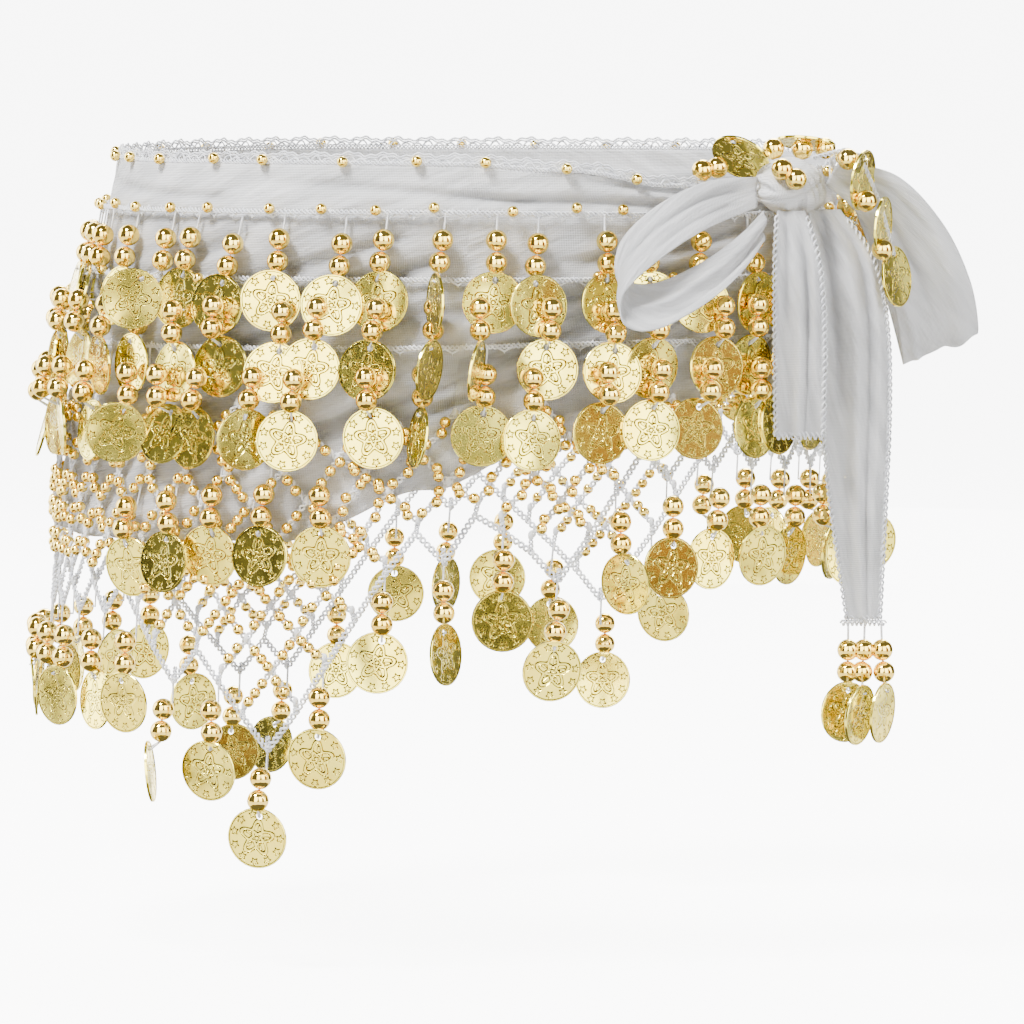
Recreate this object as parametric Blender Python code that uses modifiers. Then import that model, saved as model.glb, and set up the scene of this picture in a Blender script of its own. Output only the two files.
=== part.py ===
"""Coin belt: a chiffon hip scarf with crochet edging, a net of points, hanging beads and coins, and a bow.

It is modelled as worn, round an empty ring, with its origin at the centre of the waist opening. +Z is up,
-Y is the front and +X is the side where it is tied. Sizes below are millimetres and degrees, and MM turns
them into metres. Places on the cloth are given as (angle, height, out): the angle round the ring from the
front centre towards +X, the height, and how far a point stands out from the cloth's outer face.
"""

import math

import bmesh
import bpy
from mathutils import Matrix, Vector

MM = 0.001

# Cloth
CLOTH = 1.2
SEAM = 0.3
RING_COLUMNS = 64
BAND_ROWS = 2
HIP_ROWS = 4

# Crochet
LACE_HEIGHT = 4.5
LACE_THICKNESS = 1.0
LACE_SCALLOP = 1.4
CHAIN_HEIGHT = 2.4
CHAIN_THICKNESS = 1.6
CHAIN_GAP = 1.4
TURN_PER_MM = 0.447
STRAND = 2.0
NET_GAP = 1.1
NET_HALF_COLUMNS = 88
NET_HALF_ROW = 12.0
NET_OVERLAP = 2.0
EDGE_DROP = 3.6
SPLIT_TURN = 0.8
EDGE_SPLIT_TURN = 1.12

# Pendants: two large beads and a coin on one thread
ROOT_HALF = 0.8
BEAD_HALF = 3.5
WAIST_HALF = 1.3
NECK_HALF = 1.0
FIRST_BEAD_DROP = 9.6
BEAD_SPACING = 8.0
NECK_DROP = 21.5
COIN_RADIUS = 11.2
COIN_THICKNESS = 1.0
COIN_CORNERS = 6
COIN_CLEARANCE = 4.2
OVER_NET_OUT = 7.4
OVER_NET_CLEARANCE = 4.4
STRING_CLEAR = 3.6
STRING_OUT = 10.5
ROW_PENDANTS = 22
ODD_ROW_START = 4.0
EVEN_ROW_START = 12.2

# Knot
KNOT_ANGLE = 52.0
KNOT_HEIGHT = -9.0
KNOT_OUT = 11.4
KNOT_RADII = (16.0, 12.0, 10.5)
KNOT_SEGMENTS = 14
KNOT_RINGS = 8
KNOT_WRAPS = 5
KNOT_RIPPLE = 0.08

# Bow and tails
RIBBON_CLOTH = 1.4
FOLD_DRIFT = 1.5

# The ring that the scarf is worn on: half width, half depth and sideways shift at each height.
BODY = (
    {"height": 12.0, "half_width": 132.0, "half_depth": 106.0, "shift": 3.0},
    {"height": 0.0, "half_width": 134.0, "half_depth": 108.0, "shift": 2.0},
    {"height": -60.0, "half_width": 140.0, "half_depth": 114.0, "shift": -3.0},
    {"height": -120.0, "half_width": 143.5, "half_depth": 118.0, "shift": -8.0},
    {"height": -180.0, "half_width": 144.5, "half_depth": 119.0, "shift": -11.0},
    {"height": -280.0, "half_width": 144.5, "half_depth": 119.0, "shift": -13.0},
)

# Heights of the edges and crochet lines round the ring, a row for each station, front centre at 0.
EDGES = (
    {"angle": -178, "rim": 2.0, "band": -15.0, "row2": -39.0, "row3": -62.0, "hem": -112.0, "net": -126.0},
    {"angle": -152, "rim": 2.5, "band": -15.0, "row2": -40.0, "row3": -64.0, "hem": -126.0, "net": -196.0},
    {"angle": -125, "rim": 2.0, "band": -16.0, "row2": -41.0, "row3": -65.0, "hem": -134.0, "net": -146.0},
    {"angle": -98, "rim": 1.0, "band": -17.0, "row2": -41.0, "row3": -66.0, "hem": -137.0, "net": -168.0},
    {"angle": -58, "rim": 0.0, "band": -17.0, "row2": -41.0, "row3": -66.0, "hem": -137.0, "net": -144.0},
    {"angle": -24, "rim": 0.0, "band": -17.0, "row2": -41.0, "row3": -66.0, "hem": -135.0, "net": -208.0},
    {"angle": -3, "rim": -0.5, "band": -17.0, "row2": -41.0, "row3": -65.0, "hem": -116.0, "net": -124.0},
    {"angle": 15, "rim": -3.0, "band": -17.5, "row2": -41.0, "row3": -64.0, "hem": -98.0, "net": -144.0},
    {"angle": 32, "rim": -8.5, "band": -18.0, "row2": -41.0, "row3": -63.5, "hem": -86.0, "net": -100.0},
    {"angle": 45, "rim": -11.0, "band": -18.5, "row2": -41.0, "row3": -63.0, "hem": -83.0, "net": -120.0},
    {"angle": 57, "rim": -10.0, "band": -18.5, "row2": -41.0, "row3": -63.0, "hem": -84.5, "net": -100.0},
    {"angle": 69, "rim": -6.0, "band": -18.0, "row2": -41.0, "row3": -63.0, "hem": -85.0, "net": -112.0},
    {"angle": 90, "rim": -1.0, "band": -17.0, "row2": -40.0, "row3": -62.0, "hem": -85.0, "net": -100.0},
    {"angle": 110, "rim": 1.0, "band": -16.0, "row2": -39.0, "row3": -61.0, "hem": -86.0, "net": -120.0},
    {"angle": 130, "rim": 2.0, "band": -15.0, "row2": -38.0, "row3": -60.0, "hem": -88.0, "net": -102.0},
    {"angle": 155, "rim": 2.0, "band": -15.0, "row2": -38.0, "row3": -61.0, "hem": -99.0, "net": -158.0},
)

# Main folds, running down from the tied side: a trough is below zero.
FOLDS = (
    {"top_angle": 44, "foot_angle": -20, "half_width": 10, "depth": -1.8, "top": -22, "foot": -112},
    {"top_angle": 56, "foot_angle": 14, "half_width": 10, "depth": 1.6, "top": -20, "foot": -92},
    {"top_angle": 24, "foot_angle": -48, "half_width": 12, "depth": 1.8, "top": -26, "foot": -132},
    {"top_angle": 0, "foot_angle": -76, "half_width": 12, "depth": -1.6, "top": -28, "foot": -134},
    {"top_angle": -36, "foot_angle": -98, "half_width": 13, "depth": 1.8, "top": -24, "foot": -134},
    {"top_angle": 76, "foot_angle": 112, "half_width": 11, "depth": 1.8, "top": -20, "foot": -68},
    {"top_angle": 100, "foot_angle": 150, "half_width": 12, "depth": -1.6, "top": -22, "foot": -88},
    {"top_angle": 126, "foot_angle": 186, "half_width": 12, "depth": 1.8, "top": -24, "foot": -116},
    {"top_angle": 160, "foot_angle": 222, "half_width": 13, "depth": -1.6, "top": -26, "foot": -128},
)

# How the coins turn on their threads, in order round the ring. In two sectors they lie nearly flat.
ROW_TURNS = (0, 12, -8, 4, -58, 6, -12, 0, 10, 66, -5, 8, -10, 3, 54, -6, 9, -62, 5)
EDGE_TURNS = (4, -5, 3, 62, -4, 5, -60, 0)
EDGE_LAYERS = (0.0, 3.6)
BOW_SECTOR = {"from": 14.0, "to": 116.0, "most": 6.0}
SIDE_SECTOR = {"from": -128.0, "to": -54.0, "most": 14.0}
STRING_SECTOR = {"from": 62.0, "to": 100.0}

# Short festoon of pendants below the third row, at the front left.
FESTOON = (
    {"angle": -50, "height": -114.5, "turn": 6, "layer": 0.0},
    {"angle": -46, "height": -113.0},
    {"angle": -42, "height": -111.5, "turn": -5, "layer": 3.4},
    {"angle": -38, "height": -110.0},
    {"angle": -34, "height": -109.0, "turn": 4, "layer": 0.0},
    {"angle": -30, "height": -108.2},
    {"angle": -26, "height": -108.0, "turn": -4, "layer": 3.4},
    {"angle": -22, "height": -108.0},
    {"angle": -18, "height": -108.0, "turn": 5, "layer": 0.0},
)

# Pendants at the end of the scarf, tucked over the knot and down behind it.
KNOT_STRING = (
    {"angle": 70, "height": 1, "turn": 6, "layer": 1.5},
    {"angle": 78, "height": -9, "turn": -8, "layer": 1.5},
    {"angle": 86, "height": -20, "turn": 8, "layer": 1.5},
    {"angle": 94, "height": -28, "turn": -6, "layer": 1.5},
)

# Ribbons of cloth: centre line, width, direction of the width (turn from the front towards +X, dip below
# level) and height of the folds that run along them.
LEFT_LOOP = (
    {"x": 103.4, "y": -86.2, "z": -10.4, "width": 12, "turn": 0, "dip": 62, "fold": 1.0},
    {"x": 84.0, "y": -104.0, "z": -15.0, "width": 20, "turn": 0, "dip": 54, "fold": 1.5},
    {"x": 66.0, "y": -118.0, "z": -25.0, "width": 24, "turn": 0, "dip": 50, "fold": 1.3},
    {"x": 54.0, "y": -126.0, "z": -37.0, "width": 24, "turn": 0, "dip": 48, "fold": 1.0},
    {"x": 55.0, "y": -128.0, "z": -48.0, "width": 23, "turn": 0, "dip": 46, "fold": 0.9},
    {"x": 66.0, "y": -125.0, "z": -50.0, "width": 22, "turn": 0, "dip": 48, "fold": 1.2},
    {"x": 82.0, "y": -116.0, "z": -43.0, "width": 18, "turn": 0, "dip": 50, "fold": 1.4},
    {"x": 96.0, "y": -105.0, "z": -33.0, "width": 13, "turn": 0, "dip": 56, "fold": 1.2},
    {"x": 106.0, "y": -92.0, "z": -22.0, "width": 8, "turn": 0, "dip": 62, "fold": 0.8},
)
RIGHT_LOOP = (
    {"x": 131.1, "y": -72.8, "z": -3.7, "width": 9, "turn": 80, "dip": -60, "fold": 0.8},
    {"x": 148.0, "y": -69.0, "z": -12.0, "width": 20, "turn": 80, "dip": -48, "fold": 1.6},
    {"x": 161.0, "y": -63.0, "z": -30.0, "width": 27, "turn": 82, "dip": -36, "fold": 2.2},
    {"x": 169.0, "y": -58.0, "z": -50.0, "width": 30, "turn": 84, "dip": -26, "fold": 2.4},
    {"x": 172.0, "y": -52.0, "z": -67.0, "width": 30, "turn": 86, "dip": -20, "fold": 2.2},
    {"x": 171.0, "y": -44.0, "z": -66.0, "width": 28, "turn": 86, "dip": -20, "fold": 2.0},
    {"x": 165.0, "y": -42.0, "z": -48.0, "width": 26, "turn": 84, "dip": -28, "fold": 2.0},
    {"x": 154.0, "y": -48.0, "z": -26.0, "width": 20, "turn": 82, "dip": -40, "fold": 1.6},
    {"x": 141.0, "y": -57.0, "z": -9.0, "width": 9, "turn": 80, "dip": -54, "fold": 0.8},
)
LONG_TAIL = (
    {"x": 128.0, "y": -77.9, "z": -16.8, "width": 12, "turn": 96, "dip": 0, "fold": 1.4},
    {"x": 136.0, "y": -80.0, "z": -36.0, "width": 22, "turn": 98, "dip": 0, "fold": 2.4},
    {"x": 139.0, "y": -78.0, "z": -62.0, "width": 26, "turn": 98, "dip": 0, "fold": 2.8},
    {"x": 140.0, "y": -77.0, "z": -92.0, "width": 25, "turn": 96, "dip": 0, "fold": 2.6},
    {"x": 141.0, "y": -76.0, "z": -125.0, "width": 20, "turn": 94, "dip": 0, "fold": 2.2},
    {"x": 143.0, "y": -75.0, "z": -165.5, "width": 12, "turn": 92, "dip": 0, "fold": 1.0},
)
SHORT_TAIL = (
    {"x": 116.0, "y": -85.2, "z": -17.1, "width": 10, "turn": 84, "dip": 0, "fold": 1.2},
    {"x": 118.0, "y": -92.0, "z": -36.0, "width": 16, "turn": 84, "dip": 0, "fold": 1.8},
    {"x": 119.0, "y": -91.0, "z": -62.0, "width": 18, "turn": 86, "dip": 0, "fold": 2.0},
    {"x": 119.0, "y": -90.0, "z": -98.0, "width": 17, "turn": 88, "dip": 0, "fold": 1.8},
)
LENGTHS_PER_ROW = 2
RIBBON_CUTS = 6
TAIL_CUTS = 8
RIBBON_WAVES = 1.5
TAIL_WAVES = 2.5

# Tassel at the foot of the long tail
TASSEL_DEPTH = -75.0
TASSEL_X = 143.0
TASSEL_CLEAR = -0.8
TASSEL = (
    {"angle": -7.0, "height": -167.2, "turn": 10, "layer": 0.0},
    {"angle": 0.0, "height": -167.2, "turn": 62, "layer": 9.0},
    {"angle": 7.0, "height": -167.2, "turn": -14, "layer": 0.0},
)


def material(name, colour, roughness, metallic):
    """A plain material with the sub-part's colour and finish."""
    made = bpy.data.materials.new(name)
    made.use_nodes = True
    shader = made.node_tree.nodes["Principled BSDF"]
    shader.inputs["Base Color"].default_value = (*colour, 1.0)
    shader.inputs["Roughness"].default_value = roughness
    shader.inputs["Metallic"].default_value = metallic
    made.diffuse_color = (*colour, 1.0)
    return made


def mesh_object(name, points, faces, skin, folder):
    """An object of these points, in millimetres, with its faces turned to agree."""
    shape = bmesh.new()
    corners = [shape.verts.new(Vector(point) * MM) for point in points]
    for face in faces:
        shape.faces.new([corners[index] for index in face])
    bmesh.ops.recalc_face_normals(shape, faces=shape.faces)
    mesh = bpy.data.meshes.new(name)
    shape.to_mesh(mesh)
    shape.free()
    mesh.materials.append(skin)
    made = bpy.data.objects.new(name, mesh)
    folder.objects.link(made)
    return made


def add_thickness(shell, thickness, offset):
    """Gives an open surface its wall. The offset is -1 behind the surface and 0 on both sides of it."""
    wall = shell.modifiers.new("wall", "SOLIDIFY")
    wall.thickness = thickness * MM
    wall.offset = offset
    wall.use_even_offset = True


def smooth(share):
    """0 to 1 with a soft start and end."""
    share = min(1.0, max(0.0, share))
    return share * share * (3.0 - 2.0 * share)


def between(table, key, column, value):
    """A column of a table at this value of its key, straight between rows. The keys run one way."""
    rows = sorted(table, key=lambda row: row[key])
    for low, high in zip(rows, rows[1:]):
        if value <= high[key]:
            share = (value - low[key]) / (high[key] - low[key])
            share = min(1.0, max(0.0, share))
            return low[column] + (high[column] - low[column]) * share
    return rows[-1][column]


def around(column, angle, soft=True):
    """The height of an edge or a crochet line at this angle."""
    first = EDGES[0]["angle"]
    turned = (angle - first) % 360.0 + first
    rows = (*EDGES, {**EDGES[0], "angle": first + 360.0})
    for low, high in zip(rows, rows[1:]):
        if turned <= high["angle"]:
            share = (turned - low["angle"]) / (high["angle"] - low["angle"])
            share = smooth(share) if soft else share
            return low[column] + (high[column] - low[column]) * share
    return rows[-1][column]


def fold_height(angle, height):
    """How far the main folds push the cloth out here."""
    pushed = 0.0
    for fold in FOLDS:
        share = (fold["top"] - height) / (fold["top"] - fold["foot"])
        if not -0.2 < share < 1.3:
            continue
        line = fold["top_angle"] + (fold["foot_angle"] - fold["top_angle"]) * share
        away = wrapped(angle - line)
        fade = smooth((share + 0.2) / 0.35) * smooth((1.3 - share) / 0.4)
        pushed += fold["depth"] * fade * math.exp(-((away / fold["half_width"]) ** 2))
    return pushed


def on_cloth(angle, height, out=0.0):
    """The point this far out from the cloth's outer face."""
    half_width = between(BODY, "height", "half_width", height)
    half_depth = between(BODY, "height", "half_depth", height)
    shift = between(BODY, "height", "shift", height)
    turn = math.radians(angle)
    normal = Vector((math.sin(turn) / half_width, -math.cos(turn) / half_depth, 0.0)).normalized()
    face = Vector((shift + half_width * math.sin(turn), -half_depth * math.cos(turn), height))
    return face + normal * (out + fold_height(angle, height))


def cloth_tube(name, top, bottom, rows, skin, folder):
    """A wall round the ring, from one edge to another, open at both."""
    points = []
    for row in range(rows + 1):
        for column in range(RING_COLUMNS):
            angle = 360.0 * column / RING_COLUMNS
            high = top(angle)
            low = bottom(angle)
            points.append(on_cloth(angle, high + (low - high) * row / rows))
    faces = []
    for row in range(rows):
        for column in range(RING_COLUMNS):
            after = (column + 1) % RING_COLUMNS
            upper = row * RING_COLUMNS
            lower = upper + RING_COLUMNS
            faces.append((upper + column, lower + column, lower + after, upper + after))
    made = mesh_object(name, points, faces, skin, folder)
    face_outwards(made)
    add_thickness(made, CLOTH, -1.0)
    return made


def face_outwards(shell):
    """Turns an open wall so that its faces look away from the middle of the ring."""
    outward = sum(face.normal.dot(face.center) * face.area for face in shell.data.polygons)
    if outward < 0:
        shell.data.flip_normals()


def lace_edging(skin, folder):
    """The narrow crochet edge above the waistband, with a scalloped top."""
    points = []
    faces = []
    for column in range(RING_COLUMNS):
        angle = 360.0 * column / RING_COLUMNS
        foot = around("rim", angle) + SEAM
        scallop = LACE_SCALLOP * (column % 2)
        points.append(on_cloth(angle, foot))
        points.append(on_cloth(angle, foot + LACE_HEIGHT - scallop))
        after = (column + 1) % RING_COLUMNS
        faces.append((2 * column, 2 * after, 2 * after + 1, 2 * column + 1))
    made = mesh_object("top_lace_edging", points, faces, skin, folder)
    face_outwards(made)
    add_thickness(made, LACE_THICKNESS, -1.0)


def on_bench(along, height, out=0.0):
    """The same for a straight strip that hangs by itself: millimetres along +X, its face to the front."""
    return Vector((TASSEL_X + along, TASSEL_DEPTH - out, height))


def pendant_rings(stop, place, per_mm, bead_out, coin_clear):
    """The four-sided sections of a pendant below its root, top to bottom, as lists of corners."""
    turn = math.radians(stop["turn"])
    coin_out = coin_clear + stop["layer"] + COIN_RADIUS * abs(math.sin(turn))
    first = FIRST_BEAD_DROP
    waist = first + 0.5 * BEAD_SPACING
    second = first + BEAD_SPACING
    half_coin = 0.5 * COIN_THICKNESS
    sections = (
        {"drop": first, "half": BEAD_HALF, "thick": BEAD_HALF, "out": bead_out, "turned": 0.2},
        {"drop": waist, "half": WAIST_HALF, "thick": WAIST_HALF, "out": bead_out, "turned": 0.3},
        {"drop": second, "half": BEAD_HALF, "thick": BEAD_HALF, "out": bead_out, "turned": 0.5},
        {"drop": NECK_DROP, "half": NECK_HALF, "thick": half_coin, "out": coin_out, "turned": 1.0},
    )
    rings = []
    for section in sections:
        height = stop["height"] - section["drop"]
        centre = place(stop["angle"], height, section["out"])
        along, outward = directions(stop["angle"], height, place, per_mm, turn * section["turned"])
        rings.append(
            [
                centre - along * section["half"] + outward * section["thick"],
                centre + along * section["half"] + outward * section["thick"],
                centre + along * section["half"] - outward * section["thick"],
                centre - along * section["half"] - outward * section["thick"],
            ]
        )
    return rings, coin_faces(stop, place, per_mm, coin_out, turn)


def directions(angle, height, place, per_mm, turn):
    """Level directions along the strip and away from it, turned about the thread."""
    ahead = place(angle + per_mm, height)
    behind = place(angle - per_mm, height)
    along = (ahead - behind).normalized()
    outward = Vector((along.y, -along.x, 0.0)).normalized()
    spin = Matrix.Rotation(turn, 3, "Z")
    return spin @ along, spin @ outward


def coin_faces(stop, place, per_mm, coin_out, turn):
    """The rim's corners on the coin's front and back, from beside the neck round to its other side."""
    middle = stop["height"] - NECK_DROP - COIN_RADIUS + NECK_HALF
    centre = place(stop["angle"], middle, coin_out)
    upper = place(stop["angle"], middle + COIN_RADIUS, coin_out)
    lower = place(stop["angle"], middle - COIN_RADIUS, coin_out)
    hang = (upper - lower).normalized()
    along, _ = directions(stop["angle"], middle, place, per_mm, 0.0)
    along = Matrix.Rotation(turn, 3, hang) @ along
    outward = along.cross(hang).normalized()
    front = []
    back = []
    for corner in range(1, COIN_CORNERS + 1):
        swing = 2.0 * math.pi * corner / (COIN_CORNERS + 1)
        rim = centre + (hang * math.cos(swing) - along * math.sin(swing)) * COIN_RADIUS
        front.append(rim + outward * 0.5 * COIN_THICKNESS)
        back.append(rim - outward * 0.5 * COIN_THICKNESS)
    return front, back


def fringe(
    name,
    stops,
    skin,
    folder,
    bead_out,
    coin_clear,
    closed=True,
    place=on_cloth,
    clear=CHAIN_GAP,
    per_mm=TURN_PER_MM,
):
    """A narrow crochet chain along these stops, with a pendant fused under each stop that has a turn.

    Each stop of the chain is one section of four corners. A pendant's stop is two sections, a root apart,
    and the pendant grows from the opening between them.
    """
    points = []
    faces = []
    columns = []
    roots = []
    for stop in stops:
        halves = (-ROOT_HALF, ROOT_HALF) if "turn" in stop else (0.0,)
        if "turn" in stop:
            roots.append((len(columns), stop))
        for half in halves:
            angle = stop["angle"] + half * per_mm
            top = stop["height"] + 0.5 * CHAIN_HEIGHT
            foot = stop["height"] - 0.5 * CHAIN_HEIGHT
            columns.append(len(points))
            points.append(place(angle, top, clear + CHAIN_THICKNESS))
            points.append(place(angle, foot, clear + CHAIN_THICKNESS))
            points.append(place(angle, foot, clear))
            points.append(place(angle, top, clear))
    opened = {first for first, _ in roots}
    count = len(columns)
    for index in range(count if closed else count - 1):
        here = columns[index]
        after = columns[(index + 1) % count]
        for side in range(4):
            if side == 1 and index in opened:
                continue
            other = (side + 1) % 4
            faces.append((here + side, here + other, after + other, after + side))
    if not closed:
        faces.append(tuple(columns[0] + side for side in range(4)))
        faces.append(tuple(columns[-1] + side for side in range(4)))
    for index, stop in roots:
        left = columns[index]
        right = columns[(index + 1) % count]
        upper = [left + 1, right + 1, right + 2, left + 2]
        rings, (front, back) = pendant_rings(stop, place, per_mm, bead_out, coin_clear)
        for ring in rings:
            lower = list(range(len(points), len(points) + 4))
            points.extend(ring)
            for side in range(4):
                other = (side + 1) % 4
                faces.append((upper[side], upper[other], lower[other], lower[side]))
            upper = lower
        start = len(points)
        points.extend(front + back)
        front_rim = [upper[0], *range(start, start + COIN_CORNERS), upper[1]]
        back_rim = [upper[3], *range(start + COIN_CORNERS, start + 2 * COIN_CORNERS), upper[2]]
        faces.append(tuple(front_rim))
        faces.append(tuple(reversed(back_rim)))
        for corner in range(COIN_CORNERS + 1):
            faces.append(
                (front_rim[corner], back_rim[corner], back_rim[corner + 1], front_rim[corner + 1])
            )
    return mesh_object(name, points, faces, skin, folder)


def wrapped(angle):
    """The same angle between -180 and 180."""
    return (angle + 180.0) % 360.0 - 180.0


def held(turn, angle, sector):
    """A coin's turn, kept small inside this sector."""
    if sector["from"] < wrapped(angle) < sector["to"]:
        return max(-sector["most"], min(sector["most"], turn))
    return turn


def row_stops(column, start, first_turn, covered=None):
    """Stops of a pendant row round the ring, with a plain stop between each two pendants."""
    stops = []
    for number in range(ROW_PENDANTS):
        angle = start + 360.0 * number / ROW_PENDANTS
        stop = {"angle": angle, "height": around(column, angle)}
        if covered is None or not covered["from"] < wrapped(angle) < covered["to"]:
            turn = held(ROW_TURNS[(number + first_turn) % len(ROW_TURNS)], angle, BOW_SECTOR)
            stop["turn"] = held(turn, angle, SIDE_SECTOR)
            stop["layer"] = 0.0
        stops.append(stop)
        halfway = angle + 180.0 / ROW_PENDANTS
        stops.append({"angle": halfway, "height": around(column, halfway)})
    return stops


def net_steps():
    """How many half rows of net hang below the hem at each half column. Corners end on even columns."""
    even = []
    for column in range(0, NET_HALF_COLUMNS, 2):
        angle = net_angle(column)
        depth = around("hem", angle) + NET_OVERLAP - around("net", angle, soft=False)
        even.append(max(2, 2 * round(0.5 * depth / NET_HALF_ROW)))
    count = len(even)
    for _ in range(count):
        for index in range(count):
            even[index] = min(even[index], even[index - 1] + 2, even[(index + 1) % count] + 2)
    steps = []
    for index, deep in enumerate(even):
        after = even[(index + 1) % count]
        steps.append(deep)
        steps.append(deep - 1 if after == deep else min(deep, after) + 1)
    return steps


def net_angle(column):
    """The angle of a half column of net. The first lies at the left side."""
    return -90.0 + 360.0 * column / NET_HALF_COLUMNS


def net_height(column, step):
    """The height of a crossing of the net."""
    return around("hem", net_angle(column)) + NET_OVERLAP - step * NET_HALF_ROW


def net_half(name, first, last, steps, skin, folder):
    """Half of the net: diamonds of thread between two half columns, cut through."""
    points = []
    faces = []
    known = {}

    def corner(column, step):
        if (column, step) not in known:
            known[column, step] = len(points)
            angle = net_angle(column)
            if column == first:
                angle += SPLIT_TURN
            if column == last:
                angle -= SPLIT_TURN
            out = NET_GAP + 0.5 * STRAND
            points.append(on_cloth(angle, net_height(column, step), out))
        return known[column, step]

    for column in range(first + 1, last):
        deepest = steps[column % NET_HALF_COLUMNS]
        highest = column % 2 if deepest > 1 else -1
        for step in range(highest, deepest - 1, 2):
            faces.append(
                (
                    corner(column, step),
                    corner(column - 1, step + 1),
                    corner(column, step + 2),
                    corner(column + 1, step + 1),
                )
            )
    made = mesh_object(name, points, faces, skin, folder)
    face_outwards(made)
    strands = made.modifiers.new("strands", "WIREFRAME")
    strands.thickness = STRAND * MM
    strands.use_even_offset = False
    strands.use_boundary = True
    strands.use_replace = True
    return made


def net_edge(name, first, last, steps, skin, folder, trimmed=False):
    """The chain that follows the net's points up and down, with a pendant at every lower corner."""
    stops = []
    below = EDGE_DROP + 0.5 * CHAIN_HEIGHT
    for column in range(first, last + 1):
        height = net_height(column, steps[column % NET_HALF_COLUMNS]) - below
        stop = {"angle": net_angle(column), "height": height}
        number, between = divmod(column - first, 2)
        if trimmed and column in (first, last):
            stop["angle"] += EDGE_SPLIT_TURN if column == first else -EDGE_SPLIT_TURN
        elif not between:
            stop["turn"] = held(EDGE_TURNS[number % len(EDGE_TURNS)], stop["angle"], SIDE_SECTOR)
            stop["layer"] = EDGE_LAYERS[number % 2]
        stops.append(stop)
    fringe(name, stops, skin, folder, OVER_NET_OUT, OVER_NET_CLEARANCE, closed=False)


def knot_centre():
    return on_cloth(KNOT_ANGLE, KNOT_HEIGHT, KNOT_OUT)


def knot(skin, folder):
    """The knot: a rounded form with soft wraps round it."""
    shape = bmesh.new()
    bmesh.ops.create_uvsphere(shape, u_segments=KNOT_SEGMENTS, v_segments=KNOT_RINGS, radius=1.0)
    for corner in shape.verts:
        wrap = KNOT_WRAPS * math.atan2(corner.co.z, corner.co.y)
        ripple = 1.0 - KNOT_RIPPLE * (0.5 + 0.5 * math.cos(wrap))
        long, deep, high = KNOT_RADII
        corner.co.x *= long * MM
        corner.co.y *= deep * ripple * MM
        corner.co.z *= high * ripple * MM
    mesh = bpy.data.meshes.new("bow_knot")
    shape.to_mesh(mesh)
    shape.free()
    mesh.materials.append(skin)
    mesh.shade_smooth()
    made = bpy.data.objects.new("bow_knot", mesh)
    folder.objects.link(made)
    made.location = knot_centre() * MM
    made.rotation_euler.z = math.radians(KNOT_ANGLE)


def spline(table, column, share):
    """A smooth curve through one column of a table, from its first row at 0 to its last at 1."""
    spot = share * (len(table) - 1)
    index = min(int(spot), len(table) - 2)
    part = spot - index
    before = table[max(index - 1, 0)][column]
    low = table[index][column]
    high = table[index + 1][column]
    after = table[min(index + 2, len(table) - 1)][column]
    bend = 2 * before - 5 * low + 4 * high - after
    twist = 3 * low - before - 3 * high + after
    return low + 0.5 * part * (high - before + part * (bend + part * twist))


def ribbon(name, table, cuts, waves, skin, folder):
    """A strip of cloth along a path, with folds that run along it."""
    lengths = LENGTHS_PER_ROW * (len(table) - 1)
    points = []
    for step in range(lengths + 1):
        share = step / lengths
        spot = Vector([spline(table, axis, share) for axis in "xyz"])
        ahead = Vector([spline(table, axis, min(1.0, share + 0.01)) for axis in "xyz"])
        behind = Vector([spline(table, axis, max(0.0, share - 0.01)) for axis in "xyz"])
        turn = math.radians(spline(table, "turn", share))
        dip = math.radians(spline(table, "dip", share))
        across = Vector(
            (math.cos(dip) * math.sin(turn), -math.cos(dip) * math.cos(turn), -math.sin(dip))
        )
        raised = (ahead - behind).normalized().cross(across).normalized()
        width = spline(table, "width", share)
        fold = spline(table, "fold", share)
        for cut in range(cuts + 1):
            side = cut / cuts
            wave = math.sin(2.0 * math.pi * waves * side + FOLD_DRIFT * share)
            points.append(spot + across * width * (side - 0.5) + raised * fold * wave)
    faces = []
    for step in range(lengths):
        for cut in range(cuts):
            corner = step * (cuts + 1) + cut
            faces.append((corner, corner + 1, corner + cuts + 2, corner + cuts + 1))
    made = mesh_object(name, points, faces, skin, folder)
    add_thickness(made, RIBBON_CLOTH, 0.0)


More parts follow.
